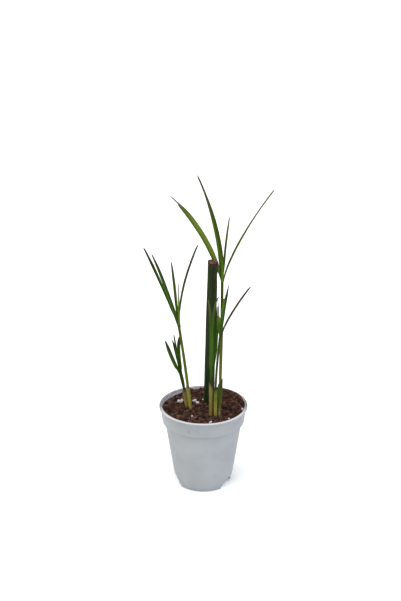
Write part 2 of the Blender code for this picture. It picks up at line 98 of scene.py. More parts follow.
def through(stops: Profile, x: float) -> float:
    """Reads a smooth curve that passes through its stops and never overshoots them.

    Args:
        stops: (position, value) pairs in rising order of position.
        x: the position to read.

    Returns:
        The value there, held at either end.
    """
    if x <= stops[0][0]:
        return stops[0][1]
    if x >= stops[-1][0]:
        return stops[-1][1]
    i = max(k for k in range(len(stops) - 1) if stops[k][0] <= x)

    def slope(k: int) -> float:
        """The slope from one stop to the next."""
        return (stops[k + 1][1] - stops[k][1]) / (stops[k + 1][0] - stops[k][0])

    def tangent(k: int) -> float:
        """The curve's slope at a stop, level at a turning point.

        Args:
            k: the stop's number.

        Returns:
            The slope.
        """
        before = slope(max(k - 1, 0))
        after = slope(min(k, len(stops) - 2))
        return 2.0 * before * after / (before + after) if before * after > 0.0 else 0.0

    span = stops[i + 1][0] - stops[i][0]
    t = (x - stops[i][0]) / span
    rise = (2 * t**3 - 3 * t**2 + 1) * stops[i][1] + (3 * t**2 - 2 * t**3) * stops[i + 1][1]
    bend = (t**3 - 2 * t**2 + t) * tangent(i) + (t**3 - t**2) * tangent(i + 1)
    return rise + span * bend


def heading_vector(heading: float) -> Vector:
    """The level unit vector that points along a heading."""
    return Vector((math.cos(math.radians(heading)), math.sin(math.radians(heading)), 0.0))


def wander(place: Vector) -> Vector:
    """Smooth noise in three directions, read at three places far apart, so each run gets the same."""
    return Vector([noise.noise(place + Vector((far, 0.0, 0.0))) for far in WANDER_PLACES])


def rim_place(angle: float) -> Vector:
    """The point at an angle, in radians, on a circle of radius 1, where noise is read."""
    return Vector((math.cos(angle), math.sin(angle), 0.0))


def off_heading(bearing: float, heading: float) -> float:
    """How far a bearing is turned from a heading, from -180 to 180 degrees."""
    return (bearing - heading + 180) % 360 - 180


def stand(name: str, data: bpy.types.ID) -> Piece:
    """Puts a mesh, a light or a camera in the scene as an object of its own.

    Args:
        name: the object's name.
        data: what it shows.

    Returns:
        The object.
    """
    piece = bpy.data.objects.new(name, data)
    bpy.context.scene.collection.objects.link(piece)
    return piece


def cast(name: str, bm: bmesh.types.BMesh, *finishes: Material) -> Piece:
    """Turns an edit mesh into an object and frees it.

    Args:
        name: the object's name.
        bm: the edit mesh.
        finishes: its materials.

    Returns:
        The object.
    """
    mesh = bpy.data.meshes.new(name)
    bm.to_mesh(mesh)
    bm.free()
    for finish in finishes:
        mesh.materials.append(finish)
    return stand(name, mesh)


@dataclass(frozen=True)
class Blotch:
    """Soft-edged spots: colour, real size, the noise where they start and are full, and strength."""

    colour: str
    size: float
    start: float
    full: float
    most: float
    detail: float = 2.0


class Recipe:
    """The nodes of one material while they are laid, and the steps that several finishes share."""

    def __init__(self, name: str, shader: dict) -> None:
        """Starts a material.

        Args:
            name: what the real material is.
            shader: the shader's uniform values by socket name.
        """
        self.material = bpy.data.materials.new(name)
        self.material.use_nodes = True
        self.tree = self.material.node_tree
        self.shader = self.tree.nodes["Principled BSDF"]
        for key, value in shader.items():
            self.shader.inputs[key].default_value = value

    @cached_property
    def place(self) -> Socket:
        """The point on the piece, in metres."""
        return self.add("TexCoord", out="Object")

    def add(self, kind: str, values: dict | None = None, stops: Stops = (), out: int | str = 0) -> Socket:
        """Adds one shader node with its values and links.

        Args:
            kind: the node's type, without the ShaderNode in front.
            values: a value or a feeding socket by an input's name or number, or a value by a
                property's name.
            stops: a ramp's (position, hex colour) stops, in rising order.
            out: the name or number of the output that is wanted.

        Returns:
            That output.
        """
        node = self.tree.nodes.new(f"ShaderNode{kind}")
        for key, value in (values or {}).items():
            if isinstance(value, Socket):
                self.tree.links.new(value, node.inputs[key])
            elif isinstance(key, int) or key in node.inputs:
                node.inputs[key].default_value = value
            else:
                setattr(node, key, value)
        for i, (position, hex_colour) in enumerate(stops):
            elements = node.color_ramp.elements
            if i == 0:
                elements.remove(elements[1])
                elements[0].position = position
            element = elements[0] if i == 0 else elements.new(position)
            element.color = linear(hex_colour)
        return node.outputs[out]

    def laid(self, colour: Socket, hex_colour: str, *shares: Socket) -> Socket:
        """Lays one colour over another where all of some shares hold.

        Args:
            colour: the colour below.
            hex_colour: the colour on top.
            shares: how much of it there is by each reason, from 0 to 1, to be multiplied.

        Returns:
            The mixed colour.
        """
        share = shares[0]
        for other in shares[1:]:
            share = self.add("Math", {"operation": "MULTIPLY", 0: share, 1: other})
        top = linear(hex_colour)
        return self.add("Mix", {"data_type": "RGBA", 0: share, 6: colour, 7: top}, out=2)

    def blotched(self, colour: Socket, blotch: Blotch, vector: Socket | None = None) -> Socket:
        """Scatters soft-edged spots over a colour.

        Args:
            colour: the colour so far.
            blotch: the spots.
            vector: the texture vector, with one cell to a unit, where it isn't plain space.

        Returns:
            The spotted colour.
        """
        cells = (per(blotch.size), self.place) if vector is None else (1.0, vector)
        values = {"Scale": cells[0], "Detail": blotch.detail, "Vector": cells[1]}
        spots = self.add("TexNoise", values)
        limits = {"From Min": blotch.start, "From Max": blotch.full, "To Max": blotch.most}
        return self.laid(colour, blotch.colour, self.add("MapRange", {**limits, "Value": spots}))

    def along_grain(self, width: float, length: float) -> Socket:
        """Stretches a plant's lengthwise grain into texture space.

        Args:
            width: the size of a cell across the grain.
            length: the size of a cell along the grain.

        Returns:
            The texture vector, with one cell to a unit.
        """
        grain = self.add("Attribute", {"attribute_name": "grain"}, out="Vector")
        scale = (per(width), per(width), per(length))
        return self.add("VectorMath", {"operation": "MULTIPLY", 0: grain, 1: scale})

    def darkened(self, colour: Socket, height: Socket, stops: Stops) -> Socket:
        """Multiplies a colour by a shade that a height picks.

        Args:
            colour: the colour so far.
            height: the value that picks the shade.
            stops: the shades by value.

        Returns:
            The darkened colour.
        """
        shade = self.add("ValToRGB", {"Fac": height}, stops)
        values = {"data_type": "RGBA", "blend_type": "MULTIPLY", 0: 1.0, 6: colour, 7: shade}
        return self.add("Mix", values, out=2)

    def ribbed(
        self, colour: Socket, cell: tuple[float, float], low: str, strength: float, depth: float,
        spots: Blotch | None = None,
    ) -> Material:
        """Ends a plant's material with fine streaks along its grain, dark and raised.

        Args:
            colour: the colour so far.
            cell: the size of a streak across and along the grain.
            low: the colour that the darkest streak multiplies by.
            strength: the strength of the bump.
            depth: how high the streaks stand.
            spots: spots of another colour over the streaks.

        Returns:
            The finished material.
        """
        vector = self.along_grain(*cell)
        values = {"Scale": 1.0, "Detail": 3.0, "Roughness": 0.6, "Vector": vector}
        streak = self.add("TexNoise", values)
        colour = self.darkened(colour, streak, ((0.32, low), (0.62, WHITE)))
        if spots:
            colour = self.blotched(colour, spots)
        return self.ended(colour, streak, strength, depth)

    def ended(self, colour: Socket | str, relief: Socket, strength: float, depth: float) -> Material:
        """Ends a material with its colour and its bump.

        Args:
            colour: the finished colour, or the hex colour of a piece that has only one.
            relief: the height of the bump.
            strength: its strength.
            depth: how high it stands.

        Returns:
            The finished material.
        """
        if isinstance(colour, str):
            self.shader.inputs["Base Color"].default_value = linear(colour)
        else:
            self.tree.links.new(colour, self.shader.inputs["Base Color"])
        bump = self.add("Bump", {"Strength": strength, "Distance": depth * MM, "Height": relief})
        self.tree.links.new(bump, self.shader.inputs["Normal"])
        return self.material


@dataclass(frozen=True)
class Stain:
    """A darker patch on the pot: where its middle is, how far it reaches, and its colour."""

    heading: float
    height: float
    radius: float
    reach: float
    colour: str
    strength: float

    def laid(self, recipe: Recipe, colour: Socket, smear: Socket) -> Socket:
        """Lays the patch over a colour.

        Args:
            recipe: the pot's material.
            colour: the colour so far.
            smear: broken noise that the patch fades into.

        Returns:
            The colour with the patch on it.
        """
        middle = (heading_vector(self.heading) * self.radius + Vector((0, 0, self.height))) * MM
        values = {"operation": "DISTANCE", 0: recipe.place, 1: middle}
        away = recipe.add("VectorMath", values, out="Value")
        near = recipe.add("MapRange", {"From Min": self.reach * MM, "From Max": 0.0, "Value": away})
        limits = {"From Min": 0.42, "From Max": 0.62, "To Max": self.strength}
        return recipe.laid(colour, self.colour, near, recipe.add("MapRange", {**limits, "Value": smear}))


@dataclass(frozen=True)
class MouldedPolypropylene:
    """Polypropylene, injection moulded in a pale grey: an even, satin-matt skin, a little cloudy.

    It has faint flow clouds a few centimetres wide, the fine grain of the mould, and the dirt
    of the potting bench. The inner wall keeps a film of mix from watering. Painted light
    lightens the inner wall and the recesses' linings at the foot, and a painted highlight
    whitens the top of the lip at its front.
    """

    pale: str = "989ca0"
    deep: str = "909498"
    soil_film: str = "6d6465"
    # Painted light: the inner wall is lightened as if light came through the thin plastic.
    inner: str = "cccbd6"
    # Painted light: the recesses' linings at the foot are lightened where shade would fall.
    recess_light: str = "f0f2f4"
    recess_light_top: float = 11.0
    # Painted highlight: the top of the lip is whitened at its front.
    lip: str = "bebdc1"
    lip_from: float = 75.4
    lip_full: float = 75.85
    lip_front: tuple[float, float] = (-4.0, -20.0)
    lip_dirt: str = "6a6462"
    dirt_from: float = 74.4
    cloud_size: float = 24.0
    grain_size: float = 0.5
    grain_depth: float = 0.015
    smear_size: float = 2.2
    film_level: float = 74.0
    film_depth: float = 2.2
    film_foot: float = 62.0
    stains: tuple[Stain, ...] = (
        # A greenish-dark spot just under the lip at the left.
        Stain(204.0, 72.6, 38.4, 3.4, "6d7858", 0.5),
        Stain(238.0, 69.5, 38.0, 6.5, "85807a", 0.4),
        Stain(250.0, 67.0, 37.9, 3.0, "6f655d", 0.5),
        Stain(262.0, 68.0, 38.0, 3.0, "7a7068", 0.32),
        # Greyer patches on the front of the body, darker towards the bottom.
        Stain(266.0, 40.0, 31.8, 6.0, "8a8c90", 0.35),
        Stain(300.0, 22.0, 29.0, 8.0, "929494", 0.25),
        Stain(30.0, 76.0, 39.5, 7.0, "4c4440", 0.8),
        Stain(56.0, 76.0, 39.5, 7.0, "5a5450", 0.7),
    )

    def material(self) -> Material:
        """Makes the pot's finish.

        Returns:
            The material.
        """
        recipe = Recipe(
            "injection moulded polypropylene",
            {"Roughness": 0.5, "IOR": 1.49, "Specular IOR Level": 0.3},
        )
        add, place = recipe.add, recipe.place
        cloud = add("TexNoise", {"Scale": per(self.cloud_size), "Detail": 3.0, "Vector": place})
        colour = add("ValToRGB", {"Fac": cloud}, ((0.35, self.deep), (0.65, self.pale)))
        broken = {"Scale": per(self.smear_size), "Detail": 4.0, "Roughness": 0.65}
        smear = add("TexNoise", {**broken, "Vector": place})
        for stain in self.stains:
            colour = stain.laid(recipe, colour, smear)
        colour = self.lip_dirt_and_highlight(recipe, self.lit_and_filmed(recipe, colour, smear), smear)
        grain = add("TexNoise", {"Scale": per(self.grain_size), "Detail": 2.0, "Vector": place})
        return recipe.ended(colour, grain, 0.35, self.grain_depth)

    def lip_dirt_and_highlight(self, recipe: Recipe, colour: Socket, smear: Socket) -> Socket:
        """Paints a highlight along the top of the lip at its front, and soils the rest of the lip.

        Args:
            recipe: the pot's material.
            colour: the colour so far.
            smear: broken noise that the soil fades into.

        Returns:
            The colour with the lip's.
        """
        add = recipe.add
        height = add("SeparateXYZ", {0: recipe.place}, out="Z")
        depth = add("SeparateXYZ", {0: recipe.place}, out="Y")
        edge, front, low = (
            add("MapRange", {"From Min": start * MM, "From Max": end * MM, "Value": value})
            for value, start, end in (
                (height, self.lip_from, self.lip_full), (depth, *self.lip_front),
                (height, self.dirt_from, self.lip_from),
            )
        )
        away = add("Math", {"operation": "SUBTRACT", 0: 1.0, 1: front})
        patchy = add("MapRange", {"From Min": 0.3, "From Max": 0.55, "To Max": 0.85, "Value": smear})
        colour = recipe.laid(colour, self.lip_dirt, low, away, patchy)
        # Painted highlight along the top of the lip at the front.
        return recipe.laid(colour, self.lip, edge, front)

    def lit_and_filmed(self, recipe: Recipe, colour: Socket, smear: Socket) -> Socket:
        """Paints light onto the inner wall, as if light came through the thin plastic, and lays its film of
        mix.

        The recesses' linings at the foot get painted light in the same way, where shade would fall.

        Args:
            recipe: the pot's material.
            colour: the colour so far.
            smear: broken noise that the film fades into.

        Returns:
            The colour with the film on it.
        """
        add = recipe.add
        level = add("VectorMath", {"operation": "MULTIPLY", 0: recipe.place, 1: (1, 1, 0)})
        reach = add("VectorMath", {"operation": "LENGTH", 0: level}, out="Value")
        height = add("SeparateXYZ", {0: recipe.place}, out="Z")
        inner, sunk = (
            (
                add("Math", {"operation": "LESS_THAN", 0: reach, 1: add(
                    "Math", {"operation": "MULTIPLY_ADD", 0: height, 1: slope, 2: radius * MM}
                )}),
                add("Math", {"operation": side, 0: height, 1: limit * MM}),
            )
            for (slope, radius), side, limit in (
                (NurseryPot.collar_middle(), "GREATER_THAN", self.film_foot),
                (NurseryPot.foot_middle(), "LESS_THAN", self.recess_light_top),
            )
        )
        # Painted light on the inner wall.
        colour = recipe.laid(colour, self.inner, *inner)
        # Painted light in the recesses' linings at the foot, where shade falls.
        colour = recipe.laid(colour, self.recess_light, *sunk)
        top, bottom = self.film_level * MM, (self.film_level - self.film_depth) * MM
        low = add("MapRange", {"From Min": top, "From Max": bottom, "Value": height})
        return recipe.laid(colour, self.soil_film, *inner, low, smear)


@dataclass(frozen=True)
class MoistCoir:
    """Milled coconut coir, moist: matt brown clods and pith, with painted shade, nearly black, in the gaps
    between them.

    Each clod has a brown of its own, from grey-brown to red-brown, and its crumbs vary round it.
    """

    dark: str = "1c100c"
    brown: str = "47332c"
    red: str = "6e4638"
    straw: str = "886e62"
    # gap_shade and slope are painted shade: they darken the crust where it lies low between clods.
    gap_shade: str = "1b1412"
    slope: str = "9a8f8c"
    crumb_size: float = 2.2
    fleck_size: float = 0.5

    def material(self) -> Material:
        """Makes the finish of the mix's surface.

        Returns:
            The material.
        """
        recipe = Recipe("milled moist coir", {"Roughness": 0.9, "IOR": 1.4, "Specular IOR Level": 0.1})
        add = recipe.add
        crumb, fleck = (
            add("TexNoise", {"Scale": per(size), "Detail": detail, "Roughness": 0.7, "Vector": recipe.place})
            for size, detail in ((self.crumb_size, 4.0), (self.fleck_size, 3.0))
        )
        plain, ground = (
            add("ValToRGB", {"Fac": crumb}, stops)
            for stops in (
                ((0.32, self.dark), (0.56, self.brown), (0.78, self.straw)),
                ((0.28, self.dark), (0.42, self.brown), (0.56, self.red), (0.74, self.straw)),
            )
        )
        patch = add("Attribute", {"attribute_name": "share"}, out="Fac")
        reddish = add("MapRange", {"From Min": 0.45, "From Max": 0.6, "Value": patch})
        mixed = add("Mix", {"data_type": "RGBA", 0: reddish, 6: plain, 7: ground}, out=2)
        height = add("Attribute", {"attribute_name": "tint"}, out="Fac")
        # Painted shade: the lower the crust lies between its clods, the darker it is painted.
        shade_by_height = ((0.0, self.gap_shade), (0.3, self.slope), (0.7, WHITE))
        shaded = recipe.darkened(mixed, height, shade_by_height)
        return recipe.ended(shaded, fleck, 0.8, 0.25)


@dataclass(frozen=True)
class CoirPiece:
    """Coir husk, chopped and torn: each chip or fibre has one brown of its own, from dark to straw."""

    name: str
    browns: Stops
    roughness: float = 0.8
    strand_size: float = 0.35
    rust: Blotch = Blotch("62382c", 9.0, 0.55, 0.66, 0.5)

    def material(self) -> Material:
        """Makes the finish of loose husk.

        Returns:
            The material.
        """
        recipe = Recipe(self.name, {"Roughness": self.roughness, "IOR": 1.45, "Specular IOR Level": 0.1})
        tint = recipe.add("Attribute", {"attribute_name": "tint"}, out="Fac")
        colour = recipe.add("ValToRGB", {"Fac": tint}, self.browns)
        colour = recipe.blotched(colour, self.rust)
        values = {"Scale": per(self.strand_size), "Detail": 2.0, "Vector": recipe.place}
        strand = recipe.add("TexNoise", values)
        mottled = recipe.darkened(colour, strand, ((0.3, "9a9694"), (0.7, WHITE)))
        return recipe.ended(mottled, strand, 0.5, 0.1)


@dataclass(frozen=True)
class ExpandedPerlite:
    """Perlite, volcanic glass puffed by heat: chalk-white grains with blown pores and soft edges.

    The pores are a tenth of a millimetre, drawn three times as coarse so that they show, and painted darker
    as shade inside them.
    """

    white: str = "c6c0c4"
    # Painted shade inside the pores.
    pore_shade: str = "93898c"
    pore_size: float = 0.35
    dust: Blotch = Blotch("86736b", 1.6, 0.5, 0.72, 0.6, 3.0)

    def material(self) -> Material:
        """Makes the finish of the grains.

        Returns:
            The material.
        """
        recipe = Recipe("expanded perlite", {"Roughness": 0.85, "IOR": 1.5})
        pores = recipe.add("TexVoronoi", {"Scale": per(self.pore_size), "Vector": recipe.place})
        colour = recipe.add("ValToRGB", {"Fac": pores}, ((0.0, self.pore_shade), (0.35, self.white)))
        return recipe.ended(recipe.blotched(colour, self.dust), pores, 0.7, 0.12)


def living(
    roughness: float, specular: float, weight: float, radius: tuple[float, float, float], depth: float
) -> dict:
    """The shader's values for a living skin, which light sinks a little way into.

    Args:
        roughness: how matt its wax is.
        specular: how much it shines.
        weight: how much of the light sinks in.
        radius: how far each colour of light spreads.
        depth: how deep that is.

    Returns:
        The values by socket name.
    """
    return {
        "Roughness": roughness, "IOR": 1.42, "Specular IOR Level": specular,
        "Subsurface Weight": weight, "Subsurface Radius": radius, "Subsurface Scale": depth * MM,
    }


@dataclass(frozen=True)
class WaxyLeaf:
    """A living sedge leaf: parallel veins under a thin wax that gives a soft, stretched sheen.

    It is pale where it folds round the stem, and dries to grey-brown at its tip. One side of the
    keel gets a lit green and the other a shaded green, as painted light and painted shade.
    """

    name: str
    base: str
    # light and dark: a painted lit side and a painted shaded side of the keel.
    light: str
    dark: str
    dull: str
    tip: str
    dull_from: float = 0.72
    tip_from: float = 0.93
    base_to: float = 0.1
    vein: tuple[float, float] = (0.42, 30.0)

    def material(self) -> Material:
        """Makes the finish of a leaf.

        Returns:
            The material.
        """
        recipe = Recipe(self.name, living(0.5, 0.08, 0.04, (0.4, 0.7, 0.15), 0.4))
        share = recipe.add("Attribute", {"attribute_name": "share"}, out="Fac")
        drying = 0.5 * (self.dull_from + self.tip_from)
        light, dark = (
            recipe.add("ValToRGB", {"Fac": share}, (
                (0.0, self.base), (self.base_to, green), (self.dull_from, green),
                (drying, self.dull), (self.tip_from, self.tip),
            ))
            for green in (self.light, self.dark)
        )
        # Painted light and shade: one side of the keel gets the lit green, the other the shaded green.
        side = recipe.add("Attribute", {"attribute_name": "side"}, out="Fac")
        shaded_flank = recipe.add("MapRange", {"From Min": 0.44, "From Max": 0.56, "Value": side})
        colour = recipe.add("Mix", {"data_type": "RGBA", 0: shaded_flank, 6: light, 7: dark}, out=2)
        return recipe.ribbed(colour, self.vein, "b4b9a4", 0.5, 0.06)


@dataclass(frozen=True)
class GreenCulm:
    """A young sedge stem: smooth and waxy, finely ribbed, yellow at the foot and green above."""

    name: str
    foot: str
    middle: str
    head: str
    fleck: Blotch = Blotch("6a6030", 1.1, 0.66, 0.74, 0.7)
    rib: tuple[float, float] = (0.45, 22.0)

    def material(self) -> Material:
        """Makes the finish of a young stem.

        Returns:
            The material.
        """
        recipe = Recipe(self.name, living(0.45, 0.1, 0.05, (0.5, 0.7, 0.2), 0.5))
        share = recipe.add("Attribute", {"attribute_name": "share"}, out="Fac")
        greens = ((0.08, self.foot), (0.4, self.middle), (0.85, self.head))
        colour = recipe.add("ValToRGB", {"Fac": share}, greens)
        return recipe.ribbed(colour, self.rib, "b3ae94", 0.45, 0.07, self.fleck)


@dataclass(frozen=True)
class PaperySheath:
    """The sheath at a shoot's foot: tough and ribbed below, and dry brown paper round its mouth."""

    name: str
    foot: str
    middle: str
    head: str
    mouth: str = "6f5a3a"
    spot: Blotch = Blotch("5a4024", 2.4, 0.6, 0.7, 0.75, 3.0)
    foot_to: float = 0.16
    mouth_from: float = 0.9
    rib: tuple[float, float] = (0.5, 26.0)

    def material(self) -> Material:
        """Makes the finish of a sheath.

        Returns:
            The material.
        """
        recipe = Recipe(self.name, living(0.55, 0.1, 0.06, (0.6, 0.6, 0.2), 0.5))
        share = recipe.add("Attribute", {"attribute_name": "share"}, out="Fac")
        colour = recipe.add("ValToRGB", {"Fac": share}, (
            (self.foot_to, self.foot), (0.5, self.middle), (self.mouth_from - 0.1, self.head),
            (self.mouth_from, self.head), (0.985, self.mouth),
        ))
        return recipe.ribbed(colour, self.rib, "a89e80", 0.6, 0.1, self.spot)


@dataclass(frozen=True)
class OldCulmSkin:
    """The skin of a full-grown stem: very dark green, ribbed lengthwise, with a grey-blue bloom.

    It dries to brown for the last few millimetres under the cut.
    """

    dark: str = "121e05"
    green: str = "26380e"
    bloom: Blotch = Blotch("38462c", 14.0, 0.56, 0.72, 0.55, 3.0)
    bloom_width: float = 1.76
    dried: str = "3a281c"
    dry_from: float = 0.965
    dry_ragged: float = 0.035
    rib: tuple[float, float] = (1.1, 60.0)
    fine_rib: tuple[float, float] = (0.35, 60.0)

    def material(self) -> Material:
        """Makes the finish of the old stem's skin.

        Returns:
            The material.
        """
        recipe = Recipe(
            "full-grown sedge skin", {"Roughness": 0.6, "IOR": 1.45, "Specular IOR Level": 0.15}
        )
        add = recipe.add
        ribs = recipe.along_grain(*self.rib)
        broad = add("TexNoise", {"Scale": 1.0, "Detail": 2.0, "Vector": ribs})
        skin = add("ValToRGB", {"Fac": broad}, ((0.36, self.dark), (0.6, self.green)))
        haze = recipe.along_grain(self.bloom_width, self.bloom.size)
        colour = recipe.blotched(skin, self.bloom, haze)
        waves = {1: self.dry_ragged, 2: -self.dry_ragged / 2}
        ragged = add("Math", {"operation": "MULTIPLY_ADD", 0: broad, **waves})
        share = add("Attribute", {"attribute_name": "share"}, out="Fac")
        height = add("Math", {"operation": "ADD", 0: share, 1: ragged})
        dry = add("MapRange", {"From Min": self.dry_from, "From Max": 0.99, "Value": height})
        colour = recipe.laid(colour, self.dried, dry)
        return recipe.ribbed(colour, self.fine_rib, "a0a0a0", 0.7, 0.12)


@dataclass(frozen=True)
class DriedPith:
    """The cut face of the old stem: spongy pith, dried pink-brown, with dark vessel ends."""

    pith: str = "523c2e"
    pale: str = "6e584a"
    vessel: str = "20120c"
    vessel_size: float = 0.9
    patch_size: float = 3.0

    def material(self) -> Material:
        """Makes the finish of the cut face.

        Returns:
            The material.
        """
        recipe = Recipe("dried sedge pith", {"Roughness": 0.9, "IOR": 1.4})
        add, place = recipe.add, recipe.place
        vessels = add("TexVoronoi", {"Scale": per(self.vessel_size), "Vector": place})
        patch = add("TexNoise", {"Scale": per(self.patch_size), "Detail": 3.0, "Vector": place})
        browns = ((0.34, self.vessel), (0.5, self.pith), (0.66, self.pale))
        colour = add("ValToRGB", {"Fac": patch}, browns)
        ends = add("MapRange", {"From Min": 0.28, "From Max": 0.12, "To Max": 0.8, "Value": vessels})
        return recipe.ended(recipe.laid(colour, self.vessel, ends), patch, 0.9, 0.3)


@dataclass(frozen=True)
class PaintedBoard:
    """Painted board, rolled matt white: the studio's table, with a grain too fine to catch light."""

    white: str = "fcfcfc"
    grain_size: float = 1.5

    def material(self) -> Material:
        """Makes the finish of the table.

        Returns:
            The material.
        """
        recipe = Recipe("matt painted board", {"Roughness": 0.9})
        grain = recipe.add("TexNoise", {"Scale": per(self.grain_size), "Vector": recipe.place})
        return recipe.ended(self.white, grain, 0.1, 0.05)


class LeafTone(Enum):
    """The greens of the leaves, from the freshest to the driest."""

    # FRESH and CLEAR have paler feet: the leaf foot is pale, and it is lightened further as painted light
    # where the stump and the neighbouring leaf cast shade.
    FRESH = WaxyLeaf("fresh sedge leaf", "70823a", "6a7a2c", "50621e", "4c5a20", "585a42", 0.6, 0.97)
    CLEAR = WaxyLeaf(
        "full green sedge leaf", "5c7826", "4c660c", "364c05", "3a4818", "3e4030", 0.5, 0.9, 0.26
    )
    DEEP = WaxyLeaf("dark sedge leaf", "2c4802", "355606", "2b4602", "2b3a0e", "323420", 0.58, 0.95)
    SHADED = WaxyLeaf("short shoot's leaf", "3a5606", "3e5c12", "2e4a06", "2c3a10", "30341e", 0.62, 0.95)
    FRONT = WaxyLeaf("young bundled leaf", "34500a", "3e5c18", "36540f", "3c5018", "485430", 0.6, 0.9)
    LIME = WaxyLeaf("young blunt leaf", "2f4e0a", "3b5c0e", "2f4c08", "4a6414", "50641c", 0.6, 0.95)
    OLIVE = WaxyLeaf("narrow olive sedge leaf", "4a600c", "56661a", "465a0c", "4e5430", "54563a", 0.3, 0.8)
    SLENDER = WaxyLeaf(
        "slender bright sedge leaf", "46600c", "5a741a", "465c0c", "5c682a", "6c6c52", 0.7, 0.97
    )
    DUSKY = WaxyLeaf("dulled sedge leaf", "2e4a08", "3c5212", "30440a", "383e20", "3e4230", 0.25, 0.7)
    PALE = WaxyLeaf("thin pale sedge leaf", "4c6414", "56701c", "4c6418", "84887a", "a09ca4", 0.5, 0.85)
    GREY = WaxyLeaf("dry-edged sedge leaf", "2e4408", "384224", "2c341a", "34382a", "3c4030", 0.1, 0.5)

    @cache
    def material(self) -> Material:
        """The one material that all leaves of this tone share."""
        return self.value.material()


@dataclass
class Shell:
    """The points, faces and shading values of one mesh while it is being made.

    Each point carries its share of the piece's length, its place in the piece's straight grain
    (metres), its side of a leaf's keel and a tint.
    """

    points: list[Vector] = field(default_factory=list)
    faces: list[tuple[int, ...]] = field(default_factory=list)
    shares: list[float] = field(default_factory=list)
    grains: list[Vector] = field(default_factory=list)
    sides: list[float] = field(default_factory=list)
    tints: list[float] = field(default_factory=list)
    face_finishes: dict[int, int] = field(default_factory=dict)

    def point(
        self, place: Vector, share: float = 0.0, grain: Vector | None = None, side: float = 0.5,
        tint: float = 0.5,
    ) -> int:
        """Adds a point.

        Args:
            place: where it is.
            share: its share of the piece's length.
            grain: its place in the straightened piece.
            side: 0 on one side of a leaf's keel, 1 on the other.
            tint: the value that picks its colour.

        Returns:
            The point's number.
        """
        self.points.append(place * MM)
        self.shares.append(share)
        self.grains.append((grain if grain is not None else place) * MM)
        self.sides.append(side)
        self.tints.append(tint)
        return len(self.points) - 1

    def bridge(self, lower: Sequence[int], upper: Sequence[int]) -> None:
        """Joins two closed rings of as many points with four-sided faces."""
        for i, j in enumerate((*range(1, len(lower)), 0)):
            self.faces.append((lower[i], lower[j], upper[j], upper[i]))

    def loft(self, rings: Sequence[Sequence[int]]) -> None:
        """Joins closed rings, one after another."""
        for lower, upper in zip(rings, rings[1:]):
            self.bridge(lower, upper)

    def fan(self, ring: Sequence[int], tip: int, before: bool = False) -> None:
        """Closes a ring onto one point beyond it, or before it."""
        for one, two in zip(ring, (*ring[1:], ring[0])):
            self.faces.append((two, one, tip) if before else (one, two, tip))

    def to_piece(
        self, name: str, finishes: Sequence[Material], crease: float, slot: str, *nodes: str
    ) -> Piece:
        """Turns the shell into a piece that stands for its solids.

        Args:
            name: the piece's name.
            finishes: its materials, the first for every face that names no other.
            crease: the angle from which an edge stays sharp.
            slot: passed on to hand_over.
            nodes: the solids that it stands for.

        Returns:
            The piece.
        """
        mesh = bpy.data.meshes.new(name)
        mesh.from_pydata(self.points, [], self.faces)
        for label, values in (("share", self.shares), ("side", self.sides), ("tint", self.tints)):
            mesh.attributes.new(label, "FLOAT", "POINT").data.foreach_set("value", values)
        flat = [number for grain in self.grains for number in grain]
        mesh.attributes.new("grain", "FLOAT_VECTOR", "POINT").data.foreach_set("vector", flat)
        for material in finishes:
            mesh.materials.append(material)
        for face, finish in self.face_finishes.items():
            mesh.polygons[face].material_index = finish
        mesh.shade_smooth()
        mesh.set_sharp_from_angle(angle=math.radians(crease))
        return hand_over(stand(name, mesh), slot, *nodes)


def ball(subdivisions: int) -> tuple[list[Vector], list[tuple[int, ...]]]:
    """The corners and faces of a ball of radius 1, divided evenly.

    Args:
        subdivisions: how finely it is divided.

    Returns:
        The corners, and the corner numbers of each face.
    """
    bm = bmesh.new()
    bmesh.ops.create_icosphere(bm, subdivisions=subdivisions, radius=1.0)
    corners = [vert.co.copy() for vert in bm.verts]
    faces = [tuple(vert.index for vert in face.verts) for face in bm.faces]
    bm.free()
    return corners, faces


def hand_over(piece: Piece, slot: str, *nodes: str) -> Piece:
    """Lets a piece ride on the plant's one body and stand for its solids.

    Args:
        piece: the finished piece.
        slot: not used.
        nodes: the solids that it stands for.

    Returns:
        The piece.
    """
    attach(piece, BODY)
    if nodes:
        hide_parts(*nodes)
    return piece


@dataclass(frozen=True)
class Growth:
    """How a stem or leaf grows: it leans from lean_base at its start to lean_tip at its end."""

    length: float
    heading: float
    lean_base: float
    lean_tip: float
    bend: float = 1.0


